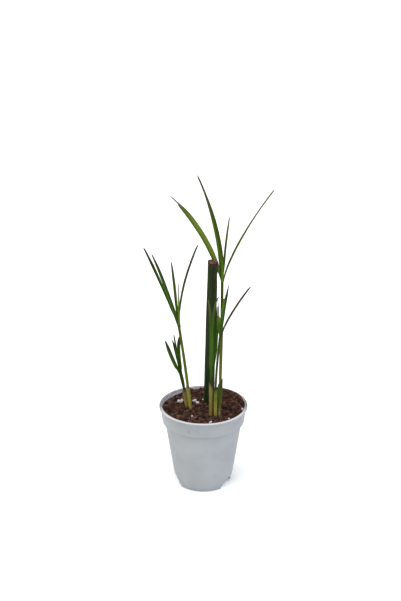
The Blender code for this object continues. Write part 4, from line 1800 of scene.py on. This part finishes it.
@dataclass(frozen=True)
class PottingMix:
    """The potting mix: the solid ball, a crumbly crust over it, and loose husk on the crust."""

    edge_radius: float = 37.2
    skirt_radius: float = 36.7
    edge_rise: float = 1.8
    heap: float = 1.6
    heap_heading: float = 40.0
    dip: float = 2.2
    dip_heading: float = 135.0
    dip_spread: float = 40.0
    lump: float = 0.7
    lump_size: float = 7.0
    collar_radius: float = 38.5
    cover: float = 0.1
    crust_depth: float = 5.0
    crust_crease: float = 75.0
    rings: int = 120
    sectors: int = 360
    clod_size: float = 7.0
    clod_height: float = 2.3
    crumb_size: float = 2.2
    crumb_height: float = 0.8
    patch_size: float = 5.5
    bank: float = 1.6
    bank_heading: float = 35.0
    bank_spread: float = 62.0
    # Where the crust is sunk beside the front wall and its loose pieces get painted shadow.
    shade_heading: float = 265.0
    shade_spread: float = 85.0
    edge_band: float = 3.5
    lumps: int = 130
    lump_radius: tuple[float, float] = (0.9, 2.1)
    lump_lift: tuple[float, float] = (0.2, 1.1)
    lump_knobs: float = 0.6
    chips: int = 1500
    chip_length: tuple[float, float] = (1.1, 3.8)
    chip_slimness: tuple[float, float] = (0.35, 0.75)
    chip_thickness: tuple[float, float] = (0.25, 0.7)
    chip_tilt: float = 24.0
    chip_layers: Profile = ((-0.5, 0.8), (0.1, 1.0), (0.5, 0.72))
    chip_bulge: float = 0.55
    fibres: int = 420
    fibre_length: tuple[float, float] = (2.5, 9.0)
    fibre_radius: tuple[float, float] = (0.07, 0.14)
    fibre_curl: float = 1.9
    fibre_steps: int = 9
    crumbs: int = 1300
    crumb_radius: tuple[float, float] = (0.3, 0.95)
    crumb_knobs: float = 0.55
    seed: int = 23
    lump_finish: CoirPiece = CoirPiece(
        "knotted coir pith",
        ((0.0, "1b100c"), (0.35, "44302a"), (0.7, "6e4a3e"), (1.0, "866c5e")), 0.9, 0.8,
    )
    chip_finish: CoirPiece = CoirPiece(
        "chopped coir husk",
        ((0.0, "180e0b"), (0.3, "362620"), (0.6, "5c443a"), (0.85, "7a5c50"), (1.0, "92796c")),
    )
    fibre_finish: CoirPiece = CoirPiece(
        "torn coir fibre", ((0.0, "21140f"), (0.5, "412a20"), (0.8, "5f4334"), (1.0, "7c6450")), 0.65
    )
    crumb_finish: CoirPiece = CoirPiece(
        "crumbled coir pith",
        ((0.0, "180f0b"), (0.4, "402e26"), (0.8, "6a4c40"), (1.0, "886e60")), 0.9,
    )

    LEVEL = 72.2
    PLANTED_DEPTH = 5.2

    def ground(self, x: float, y: float) -> float:
        """The height of the solid mix's surface.

        Args:
            x: the place to the right.
            y: the place to the back.

        Returns:
            The height.
        """
        reach = math.hypot(x, y) / self.collar_radius
        bearing = math.degrees(math.atan2(y, x))
        heap = self.heap * math.cos(math.radians(bearing - self.heap_heading))
        from_dip = off_heading(bearing, self.dip_heading)
        dip = self.dip * math.exp(-((from_dip / self.dip_spread) ** 2))
        lump = self.lump * noise.noise(Vector((x, y, 0.0)) / self.lump_size)
        return self.LEVEL + (self.edge_rise + heap - dip) * reach * reach + lump

    def crumble(self, x: float, y: float) -> tuple[float, float]:
        """The crust's relief at a point.

        Args:
            x: the place to the right.
            y: the place to the back.

        Returns:
            How far the crust stands up, in millimetres, and the tone of the clod there.
        """
        place = Vector((x, y, 0.0))
        warp = 1.2 * wander(place / 3.0) + 0.5 * wander(place / 1.2)
        distances, seeds = noise.voronoi((place + warp) / self.clod_size)
        tone = noise.cell(seeds[0] * 7.3)
        crack = min(1.0, 2.2 * (distances[1] - distances[0]))
        clod = crack * max(0.0, 1.0 - distances[0] ** 2) * (0.35 + 0.65 * abs(tone))
        near = noise.voronoi((place + 0.4 * warp) / self.crumb_size)[0]
        crumb = max(0.0, 1.0 - (near[0] / 0.7) ** 2) * min(1.0, 3.0 * (near[1] - near[0]))
        rough = noise.noise(place / 0.9) + 0.6 * noise.noise(place / 0.45 + Vector((0, 0, 4)))
        relief = self.clod_height * clod + self.crumb_height * crumb + 0.22 * rough
        banked, shaded = self.beside_wall(x, y)
        return relief * (1.0 - shaded) + self.bank * banked, abs(tone)

    def beside_wall(self, x: float, y: float) -> tuple[float, float]:
        """How far the crust is banked up against the wall, and how far it is sunk there and given painted
        shadow (0 to 1).

        Args:
            x: the place to the right.
            y: the place to the back.

        Returns:
            The two shares.
        """
        near = ease((math.hypot(x, y) - self.edge_radius + self.edge_band) / self.edge_band)
        bearing = math.degrees(math.atan2(y, x))
        banked, shaded = (
            near * ease(1.5 - 1.5 * abs(off_heading(bearing, heading)) / spread)
            for heading, spread in (
                (self.bank_heading, self.bank_spread), (self.shade_heading, self.shade_spread)
            )
        )
        return banked, shaded

    def tint(self, x: float, y: float, rng: random.Random) -> float:
        """The tint of a loose piece: patches some millimetres wide share much of their brown, and near
        the wall at the front it is darkened as painted shadow from the rim.

        Args:
            x: the place to the right.
            y: the place to the back.
            rng: the source of the rest.

        Returns:
            The tint, from 0 to 1.
        """
        place = Vector((x, y, 5.0)) / self.patch_size
        patch = 0.5 + 0.9 * noise.noise(place) + 0.3 * noise.noise(2.3 * place)
        # Painted shadow: pieces beside the front wall are darkened.
        tint = (0.62 * patch + 0.38 * rng.random()) * (1.0 - 0.85 * self.beside_wall(x, y)[1])
        return min(1.0, max(0.0, tint))

    def surface(self, x: float, y: float) -> float:
        """The height of the crust at a point."""
        return self.ground(x, y) + self.cover + self.crumble(x, y)[0]

    def build(self) -> Iterator[Piece]:
        """Dresses the solid ball and makes the crust, the chips, the fibres and the crumbs.

        Yields:
            Each piece.
        """
        coir = MoistCoir().material()
        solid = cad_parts["potting_mix"]
        solid.data.materials.clear()
        solid.data.materials.append(coir)
        yield solid
        yield self.crust(coir)
        rng = random.Random(self.seed)
        for name, scatter, crease, finish in (
            ("coir_lumps", self.scatter_lumps, 60.0, self.lump_finish),
            ("coir_chips", self.scatter_chips, 30.0, self.chip_finish),
            ("coir_fibres", self.scatter_fibres, 70.0, self.fibre_finish),
            ("coir_crumbs", self.scatter_crumbs, 60.0, self.crumb_finish),
        ):
            shell = Shell()
            scatter(shell, rng)
            yield shell.to_piece(name, [finish.material()], crease, "coir_mix")

    def crust(self, coir: Material) -> Piece:
        """Makes the crust: a closed disc whose top is a fine, crumbly surface.

        Args:
            coir: the mix's finish.

        Returns:
            The crust.
        """
        shell = Shell()
        rings = []
        for i in range(1, self.rings + 1):
            radius = self.edge_radius * i / self.rings
            ring = []
            for k in range(self.sectors):
                angle = math.tau * k / self.sectors
                x = radius * math.cos(angle)
                y = radius * math.sin(angle)
                relief, tone = self.crumble(x, y)
                z = self.ground(x, y) + self.cover + relief
                # The tint carries the relief's height, which the mix's finish turns into painted shade.
                height = relief / (self.clod_height + self.crumb_height)
                ring.append(shell.point(Vector((x, y, z)), tone, tint=min(max(height, 0.0), 1.0)))
            rings.append(ring)
        middle = shell.point(Vector((0.0, 0.0, self.surface(0.0, 0.0))))
        shell.fan(rings[0], middle, before=True)
        shell.loft(rings[::-1])
        floor = self.LEVEL - self.crust_depth
        narrow = self.skirt_radius / self.edge_radius / MM
        skirt = [
            shell.point(Vector((shell.points[i].x * narrow, shell.points[i].y * narrow, floor)))
            for i in rings[-1]
        ]
        shell.bridge(skirt, rings[-1])
        shell.fan(skirt, shell.point(Vector((0.0, 0.0, floor))), before=True)
        return shell.to_piece("potting_mix_crust", [coir], self.crust_crease, "coir_mix")

    def spot(self, rng: random.Random, margin: float) -> tuple[float, float]:
        """A random place on the mix, clear of the pot's wall by a margin.

        Args:
            rng: the source of the place.
            margin: how far from the wall.

        Returns:
            The place.
        """
        reach = (self.edge_radius - margin) * math.sqrt(rng.random())
        angle = rng.uniform(0.0, math.tau)
        return reach * math.cos(angle), reach * math.sin(angle)

    def pebble(
        self, shell: Shell, faces: Sequence[tuple[int, ...]], corners: Sequence[Vector],
        centre: Vector, size: float, knobs: float, rng: random.Random,
    ) -> None:
        """Adds one knobbly pebble of pith.

        Args:
            shell: the mesh that gets it.
            faces: the faces of the ball that it is shaped from.
            corners: the ball's corners.
            centre: the pebble's middle.
            size: its radius.
            knobs: how far its knobs stand out, as a share of its radius.
            rng: the source of its shape and tint.
        """
        shift = Vector((rng.uniform(0, 90), rng.uniform(0, 90), 0.0))
        flat = rng.uniform(0.55, 0.9)
        long = rng.uniform(0.75, 1.25)
        turn = Matrix.Rotation(rng.uniform(0.0, math.tau), 3, "Z")
        tint = self.tint(centre.x, centre.y, rng)
        first = len(shell.points)
        for corner in corners:
            knob = noise.noise(corner * 1.4 + shift) + 0.4 * noise.noise(corner * 3.6 + shift)
            knobbly = size * (1.0 + knobs * knob)
            place = turn @ (Vector((corner.x * long, corner.y / long, corner.z * flat)) * knobbly)
            shell.point(centre + place, tint=tint)
        shell.faces.extend(tuple(first + i for i in face) for face in faces)

    def scatter_lumps(self, shell: Shell, rng: random.Random) -> None:
        """Makes the lumps: knots of pith some millimetres across, half sunk in the crust.

        Args:
            shell: the mesh that gets them.
            rng: the source of their places and shapes.
        """
        corners, faces = ball(3)
        for _ in range(self.lumps):
            size = rng.uniform(*self.lump_radius)
            x, y = self.spot(rng, size + 0.3)
            centre = Vector((x, y, self.ground(x, y) + rng.uniform(*self.lump_lift)))
            self.pebble(shell, faces, corners, centre, size, self.lump_knobs, rng)

    def scatter_chips(self, shell: Shell, rng: random.Random) -> None:
        """Makes the chips: flat, broken-edged flakes of husk, half sunk in the crust.

        Args:
            shell: the mesh that gets them.
            rng: the source of their places and shapes.
        """
        for _ in range(self.chips):
            length = rng.uniform(*self.chip_length)
            x, y = self.spot(rng, length / 2 + 0.2)
            width = length * rng.uniform(*self.chip_slimness)
            thick = rng.uniform(*self.chip_thickness)
            tilt = Matrix.Rotation(math.radians(rng.gauss(0.0, self.chip_tilt)), 3, "X")
            pitch = Matrix.Rotation(math.radians(rng.gauss(0.0, self.chip_tilt)), 3, "Y")
            turn = Matrix.Rotation(rng.uniform(0.0, math.tau), 3, "Z") @ tilt @ pitch
            centre = Vector((x, y, self.surface(x, y) + rng.uniform(-0.25, 0.3)))
            tint = self.tint(x, y, rng)
            corners = rng.randint(5, 7)
            layers = []
            for level, shrink in self.chip_layers:
                layer = []
                for k in range(corners):
                    angle = math.tau * (k + 0.35 * math.sin(2.4 * k + length)) / corners
                    jag = shrink * (0.5 + 0.14 * math.sin(3.1 * k + 9.0 * tint))
                    flat = Vector((length * jag * math.cos(angle), width * jag * math.sin(angle), 0))
                    place = centre + turn @ (flat + Vector((0, 0, thick * level)))
                    layer.append(shell.point(place, tint=tint))
                layers.append(layer)
            shell.loft(layers)
            for layer, level in ((layers[-1], self.chip_bulge), (layers[0], -self.chip_bulge)):
                middle = shell.point(centre + turn @ Vector((0, 0, thick * level)), tint=tint)
                shell.fan(layer, middle, before=level < 0)

    def scatter_fibres(self, shell: Shell, rng: random.Random) -> None:
        """Makes the fibres: short curled hairs of husk that lie on and in the crust.

        Args:
            shell: the mesh that gets them.
            rng: the source of their places and shapes.
        """
        steps = self.fibre_steps
        for _ in range(self.fibres):
            length = rng.uniform(*self.fibre_length)
            x, y = self.spot(rng, length / 2 + 0.4)
            heading = rng.uniform(0.0, math.tau)
            curl = rng.uniform(-self.fibre_curl, self.fibre_curl) / steps
            radius = rng.uniform(*self.fibre_radius)
            lift = rng.uniform(0.0, 0.5)
            tint = rng.random()
            rings = []
            for k in range(steps + 1):
                s = k / steps
                hump = lift * math.sin(math.pi * s) + radius * 0.6 - 0.25 * (2.0 * s - 1.0) ** 2
                centre = Vector((x, y, self.surface(x, y) + hump))
                side = Vector((-math.sin(heading), math.cos(heading), 0.0))
                ring = []
                for corner in range(4):
                    angle = math.tau * corner / 4
                    spoke = math.cos(angle) * side + Vector((0, 0, math.sin(angle)))
                    slim = radius * (1.0 - 0.5 * abs(2.0 * s - 1.0))
                    ring.append(shell.point(centre + slim * spoke, tint=tint))
                rings.append(ring)
                x += length / steps * math.cos(heading)
                y += length / steps * math.sin(heading)
                heading += curl
                away = math.hypot(x, y)
                if away > self.edge_radius - 0.5:
                    x *= (self.edge_radius - 0.5) / away
                    y *= (self.edge_radius - 0.5) / away
            shell.loft(rings)
            shell.faces.append(tuple(reversed(rings[0])))
            shell.faces.append(tuple(rings[-1]))

    def scatter_crumbs(self, shell: Shell, rng: random.Random) -> None:
        """Makes the crumbs: little knots of pith lying on the crust.

        Args:
            shell: the mesh that gets them.
            rng: the source of their places and shapes.
        """
        corners, faces = ball(2)
        for _ in range(self.crumbs):
            size = rng.uniform(*self.crumb_radius)
            x, y = self.spot(rng, size + 0.2)
            centre = Vector((x, y, self.surface(x, y) + 0.2 * size))
            self.pebble(shell, faces, corners, centre, size, self.crumb_knobs, rng)


@dataclass(frozen=True)
class Grain:
    """A grain of perlite: its half-sizes, its turn, how angular it is and how waisted."""

    node: str
    size: tuple[float, float, float]
    turn: float
    angular: float = 0.4
    waist: float = 0.0

    SUBDIVISIONS = 5
    PORE = 0.05

    def build(self, white: Material) -> Piece:
        """Makes the grain in the middle of its solid's box.

        Args:
            white: the finish of the grains.

        Returns:
            The grain.
        """
        low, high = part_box(self.node)
        centre = (low + high) / 2
        bm = bmesh.new()
        bmesh.ops.create_icosphere(bm, subdivisions=self.SUBDIVISIONS, radius=1.0)
        shift = Vector((self.turn * 3.1, self.turn * 1.7, 0.0))
        turn = Matrix.Rotation(math.radians(self.turn), 3, "Z")
        for vert in bm.verts:
            out = vert.co.normalized()
            broad = noise.noise(out * 1.2 + shift)
            facet = noise.voronoi(out * 1.7 + shift)[0][0]
            pores = noise.voronoi(out * 7.0 + shift)[0][0]
            reach = 1.0 + self.angular * broad - self.angular * (facet - 0.35)
            reach -= self.PORE * max(0.0, 1.0 - pores * 2.6) * 2.0
            reach -= self.waist * math.exp(-((out.x / 0.35) ** 2))
            scaled = Vector([out[axis] * self.size[axis] * reach for axis in range(3)])
            vert.co = centre + (turn @ scaled) * MM
        piece = cast(f"{self.node}_grain", bm, white)
        piece.data.shade_smooth()
        return hand_over(piece, "perlite", self.node)


@dataclass(frozen=True)
class PerliteScatter:
    """The perlite grains that lie on the mix."""

    grains: tuple[Grain, ...] = (
        Grain("perlite_1", (2.7, 2.1, 1.9), 25, 0.5, 0.3),
        Grain("perlite_2", (2.0, 1.5, 1.3), 35, 0.4, 0.15),
        Grain("perlite_3", (1.6, 1.4, 1.2), 10),
        Grain("perlite_4", (0.9, 0.8, 0.7), 60),
        Grain("perlite_5", (1.0, 0.9, 0.8), 15),
        Grain("perlite_6", (1.1, 1.0, 0.8), 80),
        Grain("perlite_7", (2.0, 0.9, 1.0), 50, 0.5),
        Grain("perlite_8", (0.9, 0.8, 0.8), 30),
        Grain("perlite_9", (1.1, 1.0, 0.9), 70),
    )

    def build(self) -> Iterator[Piece]:
        """Makes the grains.

        Yields:
            Each grain.
        """
        white = ExpandedPerlite().material()
        for grain in self.grains:
            yield grain.build(white)


@dataclass(frozen=True)
class Lamp:
    """A distant soft light: its heading and height in the sky, its softness, strength and colour."""

    name: str
    heading: float
    elevation: float
    softness: float
    strength: float
    colour: str


@dataclass(frozen=True)
class Studio:
    """A plain white table under soft light, and the camera."""

    camera_place: tuple[float, float, float] = (0.0, -1.0755, 0.6082)
    camera_pitch: float = 21.82
    camera_yaw: float = -0.14
    focal_pixels: float = 1319.8
    frame_height: float = 601.0
    sensor: float = 36.0
    table_half: float = 4.0
    sky: str = WHITE
    sky_strength: float = 0.7
    lamps: tuple[Lamp, ...] = (
        Lamp("overhead_light", 240.0, 68.0, 80.0, 2.5, "fffdf8"),
        Lamp("right_light", 340.0, 25.0, 60.0, 0.7, "c0dcff"),
    )

    def build(self) -> Iterator[Piece]:
        """Makes the table, the lights, the sky and the camera.

        Yields:
            Each of them but the sky.
        """
        yield self.table()
        for lamp in self.lamps:
            yield self.hang(lamp)
        self.light_sky()
        yield self.camera()

    def table(self) -> Piece:
        """Makes the table top.

        Returns:
            The table.
        """
        bm = bmesh.new()
        bmesh.ops.create_grid(bm, x_segments=1, y_segments=1, size=self.table_half)
        table = cast("studio_table", bm, PaintedBoard().material())
        return table

    def hang(self, lamp: Lamp) -> Piece:
        """Hangs one light and turns it to the plant.

        Args:
            lamp: the light.

        Returns:
            Its object.
        """
        light = bpy.data.lights.new(lamp.name, "SUN")
        light.angle = math.radians(lamp.softness)
        light.energy = lamp.strength
        light.color = linear(lamp.colour)[:3]
        piece = stand(lamp.name, light)
        climb = math.radians(lamp.elevation)
        sky = heading_vector(lamp.heading) * math.cos(climb) + Vector((0, 0, math.sin(climb)))
        piece.location = sky
        piece.rotation_euler = (-sky).to_track_quat("-Z", "Y").to_euler()
        return piece

    def light_sky(self) -> None:
        """Lights the scene evenly from all round, and keeps the colours as they are."""
        world = bpy.data.worlds.new("studio_sky")
        world.use_nodes = True
        sky = world.node_tree.nodes["Background"]
        sky.inputs["Color"].default_value = linear(self.sky)
        sky.inputs["Strength"].default_value = self.sky_strength
        scene = bpy.context.scene
        scene.world = world
        scene.view_settings.view_transform = "Standard"

    def camera(self) -> Piece:
        """Makes the camera. Its focal length follows from the frame's height in pixels.

        Returns:
            The camera.
        """
        data = bpy.data.cameras.new("studio_camera")
        data.sensor_width = self.sensor
        data.lens = self.focal_pixels * self.sensor / self.frame_height
        camera = stand("studio_camera", data)
        camera.location = self.camera_place
        turn = (90.0 - self.camera_pitch, 0.0, -self.camera_yaw)
        camera.rotation_euler = [math.radians(angle) for angle in turn]
        bpy.context.scene.camera = camera
        return camera


TALL_SHOOT = Shoot(
    name="tall",
    foot=(13.7, -22.6),
    growth=Growth(130.9, 84, 23.0, 0.5),
    stem_radii=((0.2, 1.0), (0.28, 1.12), (0.36, 1.4), (0.6, 1.4), (0.8, 1.22), (1.0, 1.25)),
    stem_finish=GreenCulm("tall shoot's stem", "706c44", "646434", "3c4a06"),
    sheath=Sheath(
        radii=((0.0, 0.8), (7.0, 1.0), (16.0, 1.3), (22.0, 2.0), (29.0, 2.2), (36.0, 2.0)),
        slant=6.0, slant_heading=0.0,
        finish=PaperySheath("tall shoot's sheath", "8a7e58", "4a5816", "424e14", "424418", foot_to=0.24),
    ),
    leaves=(
        Leaf(
            "left", Growth(89.2, 146, 16.7, 56.8, 0.82),
            ((0.15, 5.4), (0.35, 6.6), (0.65, 6.4), (0.78, 5.4), (0.86, 3.4), (0.875, 1.7),
             (0.97, 1.2)),
            LeafTone.FRESH, roll=-13, nick=0.86, strand_side=-1.0, tip_twist=0.0,
            base_width=4.4, base_fold=30.0,
        ),
        Leaf(
            "upright", Growth(104.5, 214, -5, 25.5, 0.6),
            ((0.15, 5.3), (0.3, 5.2), (0.55, 4.5), (0.72, 3.1), (0.83, 2.1), (0.97, 1.5)),
            LeafTone.CLEAR, roll=35, base_width=4.4, base_fold=25.0,
        ),
        Leaf(
            "thin", Growth(57.0, 51, 5, 12, 0.9),
            ((0.2, 2.9), (0.5, 3.3), (0.78, 2.8), (0.93, 1.7), (0.97, 1.4)),
            LeafTone.SLENDER, roll=-14,
        ),
        Leaf(
            "right", Growth(99.0, 342, 9, 35, 0.45),
            ((0.15, 3.8), (0.35, 3.6), (0.55, 2.8), (0.72, 2.3), (0.93, 1.9), (0.97, 1.6)),
            LeafTone.OLIVE, roll=40, base_width=2.7,
        ),
    ),
)

LEFT_SHOOT = Shoot(
    name="left",
    foot=(-10.9, -6.0),
    growth=Growth(89.5, 191, 5.3, 8.5),
    stem_radii=((0.14, 0.95), (0.31, 1.1), (0.4, 1.32), (0.6, 1.3), (0.8, 1.18), (1.0, 1.2)),
    stem_finish=GreenCulm("left shoot's stem", "787830", "5f6722", "465010"),
    sheath=Sheath(
        radii=((0.0, 0.8), (6.0, 1.0), (12.0, 1.55), (19.0, 1.65), (28.0, 1.6)),
        slant=3.0, slant_heading=190.0,
        finish=PaperySheath("left shoot's sheath", "a8984c", "988c38", "84824a", "8a7c50"),
    ),
    leaves=(
        Leaf(
            "outer", Growth(76.5, 160, 18, 28, 0.55),
            ((0.2, 3.3), (0.4, 3.3), (0.6, 3.6), (0.75, 3.6), (0.85, 3.0), (0.97, 2.2)),
            LeafTone.DEEP, roll=-19,
        ),
        Leaf(
            "inner", Growth(77.5, 212, 7, 23, 0.3),
            ((0.2, 3.3), (0.4, 3.3), (0.62, 3.4), (0.78, 3.1), (0.93, 1.8), (0.97, 1.2)),
            LeafTone.DEEP, roll=34,
        ),
        Leaf(
            "upright", Growth(57.0, 110, 16.5, 24.5, 1.65),
            ((0.2, 2.4), (0.5, 2.7), (0.72, 2.5), (0.83, 2.2), (0.93, 1.6), (0.97, 1.2)),
            LeafTone.CLEAR, roll=-13,
        ),
        Leaf(
            "pale", Growth(46.0, 270, 28, -4, 0.85),
            ((0.2, 1.5), (0.7, 1.6), (0.9, 1.2)), LeafTone.PALE, base_width=1.2,
        ),
        Leaf(
            "right", Growth(80.0, 352, -15, 22.5, 0.4),
            ((0.15, 2.6), (0.4, 3.0), (0.7, 3.2), (0.93, 3.2), (0.97, 2.5)),
            LeafTone.DUSKY, roll=-36,
        ),
    ),
)

SHORT_SHOOT = Shoot(
    name="short",
    foot=(-15.0, 3.0),
    growth=Growth(36.0, 151, 4.0, 15.0),
    stem_radii=((0.34, 0.9), (0.5, 1.05), (0.65, 1.12), (0.75, 1.4), (0.9, 1.6), (1.0, 1.65)),
    stem_finish=GreenCulm("short shoot's stem", "4a5214", "344a0a", "2a4204"),
    sheath=Sheath(
        radii=((0.0, 0.8), (5.0, 1.0), (11.0, 1.6), (17.0, 1.75), (21.0, 1.7)),
        slant=2.5, slant_heading=330.0,
        finish=PaperySheath("short shoot's sheath", "a89c50", "988c46", "7c7038", "4a4018"),
    ),
    leaves=(
        Leaf(
            "outer", Growth(39.0, 205, 24.5, 14.5, 1.75),
            ((0.1, 3.2), (0.2, 4.2), (0.4, 4.7), (0.65, 4.6), (0.8, 3.8), (0.9, 2.5), (0.97, 1.7)),
            LeafTone.SHADED, roll=38, base_width=2.8,
        ),
        Leaf(
            "inner", Growth(34.5, 155, 7.5, 20, 1.1),
            ((0.2, 3.3), (0.5, 4.1), (0.78, 3.9), (0.88, 2.7), (0.97, 1.4)),
            LeafTone.SHADED, roll=-10, base_width=2.8,
        ),
        Leaf(
            "upright", Growth(39.0, 104, 51.5, 37, 1.1),
            ((0.2, 1.8), (0.6, 2.0), (0.83, 1.7), (0.97, 1.2)), LeafTone.GREY, roll=2,
        ),
        Leaf(
            "right", Growth(39.5, 30, -8, 19, 3.5),
            ((0.2, 3.2), (0.5, 4.2), (0.75, 4.2), (0.88, 3.4), (0.95, 2.4)),
            LeafTone.SHADED, roll=22, base_width=2.8,
        ),
    ),
)

MIDDLE_SHOOT = Shoot(
    name="middle",
    foot=(11.0, -20.0),
    growth=Growth(82.5, 234, 4.0, -12.5),
    stem_radii=((0.24, 0.6), (0.41, 0.72), (0.48, 1.0), (0.9, 1.05), (1.0, 1.15)),
    stem_finish=GreenCulm("middle shoot's stem", "4e5414", "34400c", "36440a"),
    sheath=Sheath(
        radii=((0.0, 1.15), (8.0, 1.4), (20.0, 1.5), (33.0, 1.45)),
        slant=1.5, slant_heading=0.0,
        finish=PaperySheath("middle shoot's sheath", "968848", "847e34", "62702a", "54581e"),
    ),
    leaves=(
        Leaf(
            "right", Growth(55.0, 354, 1.5, 35.5, 0.3),
            ((0.2, 2.8), (0.35, 3.1), (0.65, 3.1), (0.93, 3.0), (0.97, 2.4)),
            LeafTone.GREY, roll=-46,
        ),
        Leaf(
            "upright", Growth(46.5, 51, 7.5, 17.5, 0.75),
            ((0.2, 2.8), (0.5, 3.2), (0.78, 2.7), (0.88, 1.7), (0.97, 0.8)),
            LeafTone.DEEP, roll=8,
        ),
        Leaf(
            "blunt", Growth(39.0, 300, 3, 12, 0.8),
            ((0.2, 2.2), (0.6, 3.0), (0.9, 2.5), (0.97, 1.8)), LeafTone.LIME, tip_width=1.0,
        ),
        Leaf(
            "broad", Growth(22.5, 254, 15, 5),
            ((0.2, 2.0), (0.4, 3.4), (0.7, 3.8), (0.9, 2.5), (0.97, 1.2)), LeafTone.LIME, roll=3,
        ),
        Leaf(
            "grey", Growth(34.0, 136, 1, 7, 1.6), ((0.3, 1.4), (0.7, 1.5), (0.9, 1.1)),
            LeafTone.GREY, base_width=1.2,
        ),
    ),
)

FRONT_SHOOT = Shoot(
    name="front",
    foot=(6.5, -17.0),
    growth=Growth(41.5, 86, 1.5, 5.0),
    stem_radii=((0.4, 0.75), (0.8, 0.8), (1.0, 1.3)),
    stem_finish=GreenCulm("front shoot's stem", "2c4208", "283f02", "283f02"),
    sheath=Sheath(
        radii=((0.0, 1.15), (8.0, 1.5), (20.0, 1.6), (33.0, 1.65)),
        slant=5.5, slant_heading=200.0,
        finish=PaperySheath("front shoot's sheath", "9a8a44", "867a3e", "84804a", "6a5c36"),
    ),
    leaves=(
        Leaf(
            "left", Growth(76.9, 210, -1.5, 13.2, 3.8),
            ((0.2, 2.8), (0.5, 3.0), (0.75, 2.8), (0.85, 2.3), (0.93, 1.7)),
            LeafTone.FRONT, roll=28,
        ),
        Leaf(
            "right", Growth(82.0, 323, 0.9, 34.4, 6.4),
            ((0.2, 3.0), (0.5, 3.4), (0.72, 3.2), (0.84, 2.5), (0.92, 1.9), (0.97, 1.4)),
            LeafTone.FRONT, roll=-31,
        ),
        Leaf(
            "inner", Growth(68.0, 36, 7.0, 1.0, 1.45),
            ((0.2, 3.2), (0.45, 5.0), (0.7, 4.4), (0.85, 2.2), (0.95, 1.0)),
            LeafTone.FRONT, roll=40,
        ),
    ),
)


def report(pieces: Iterable[Piece]) -> None:
    """Makes pieces one after another and logs each one."""
    for piece in pieces:
        LOG.info("made %s", piece.name)


def main() -> None:
    """Builds the studio, the pot and the plant."""
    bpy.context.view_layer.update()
    shoots = (TALL_SHOOT, LEFT_SHOOT, SHORT_SHOOT, MIDDLE_SHOOT, FRONT_SHOOT)
    for maker in (Studio(), NurseryPot(), PottingMix(), PerliteScatter(), OldStem(), *shoots):
        report(maker.build())


if __name__ == "__main__":
    logging.basicConfig(level=logging.INFO, format="%(message)s")
    main()
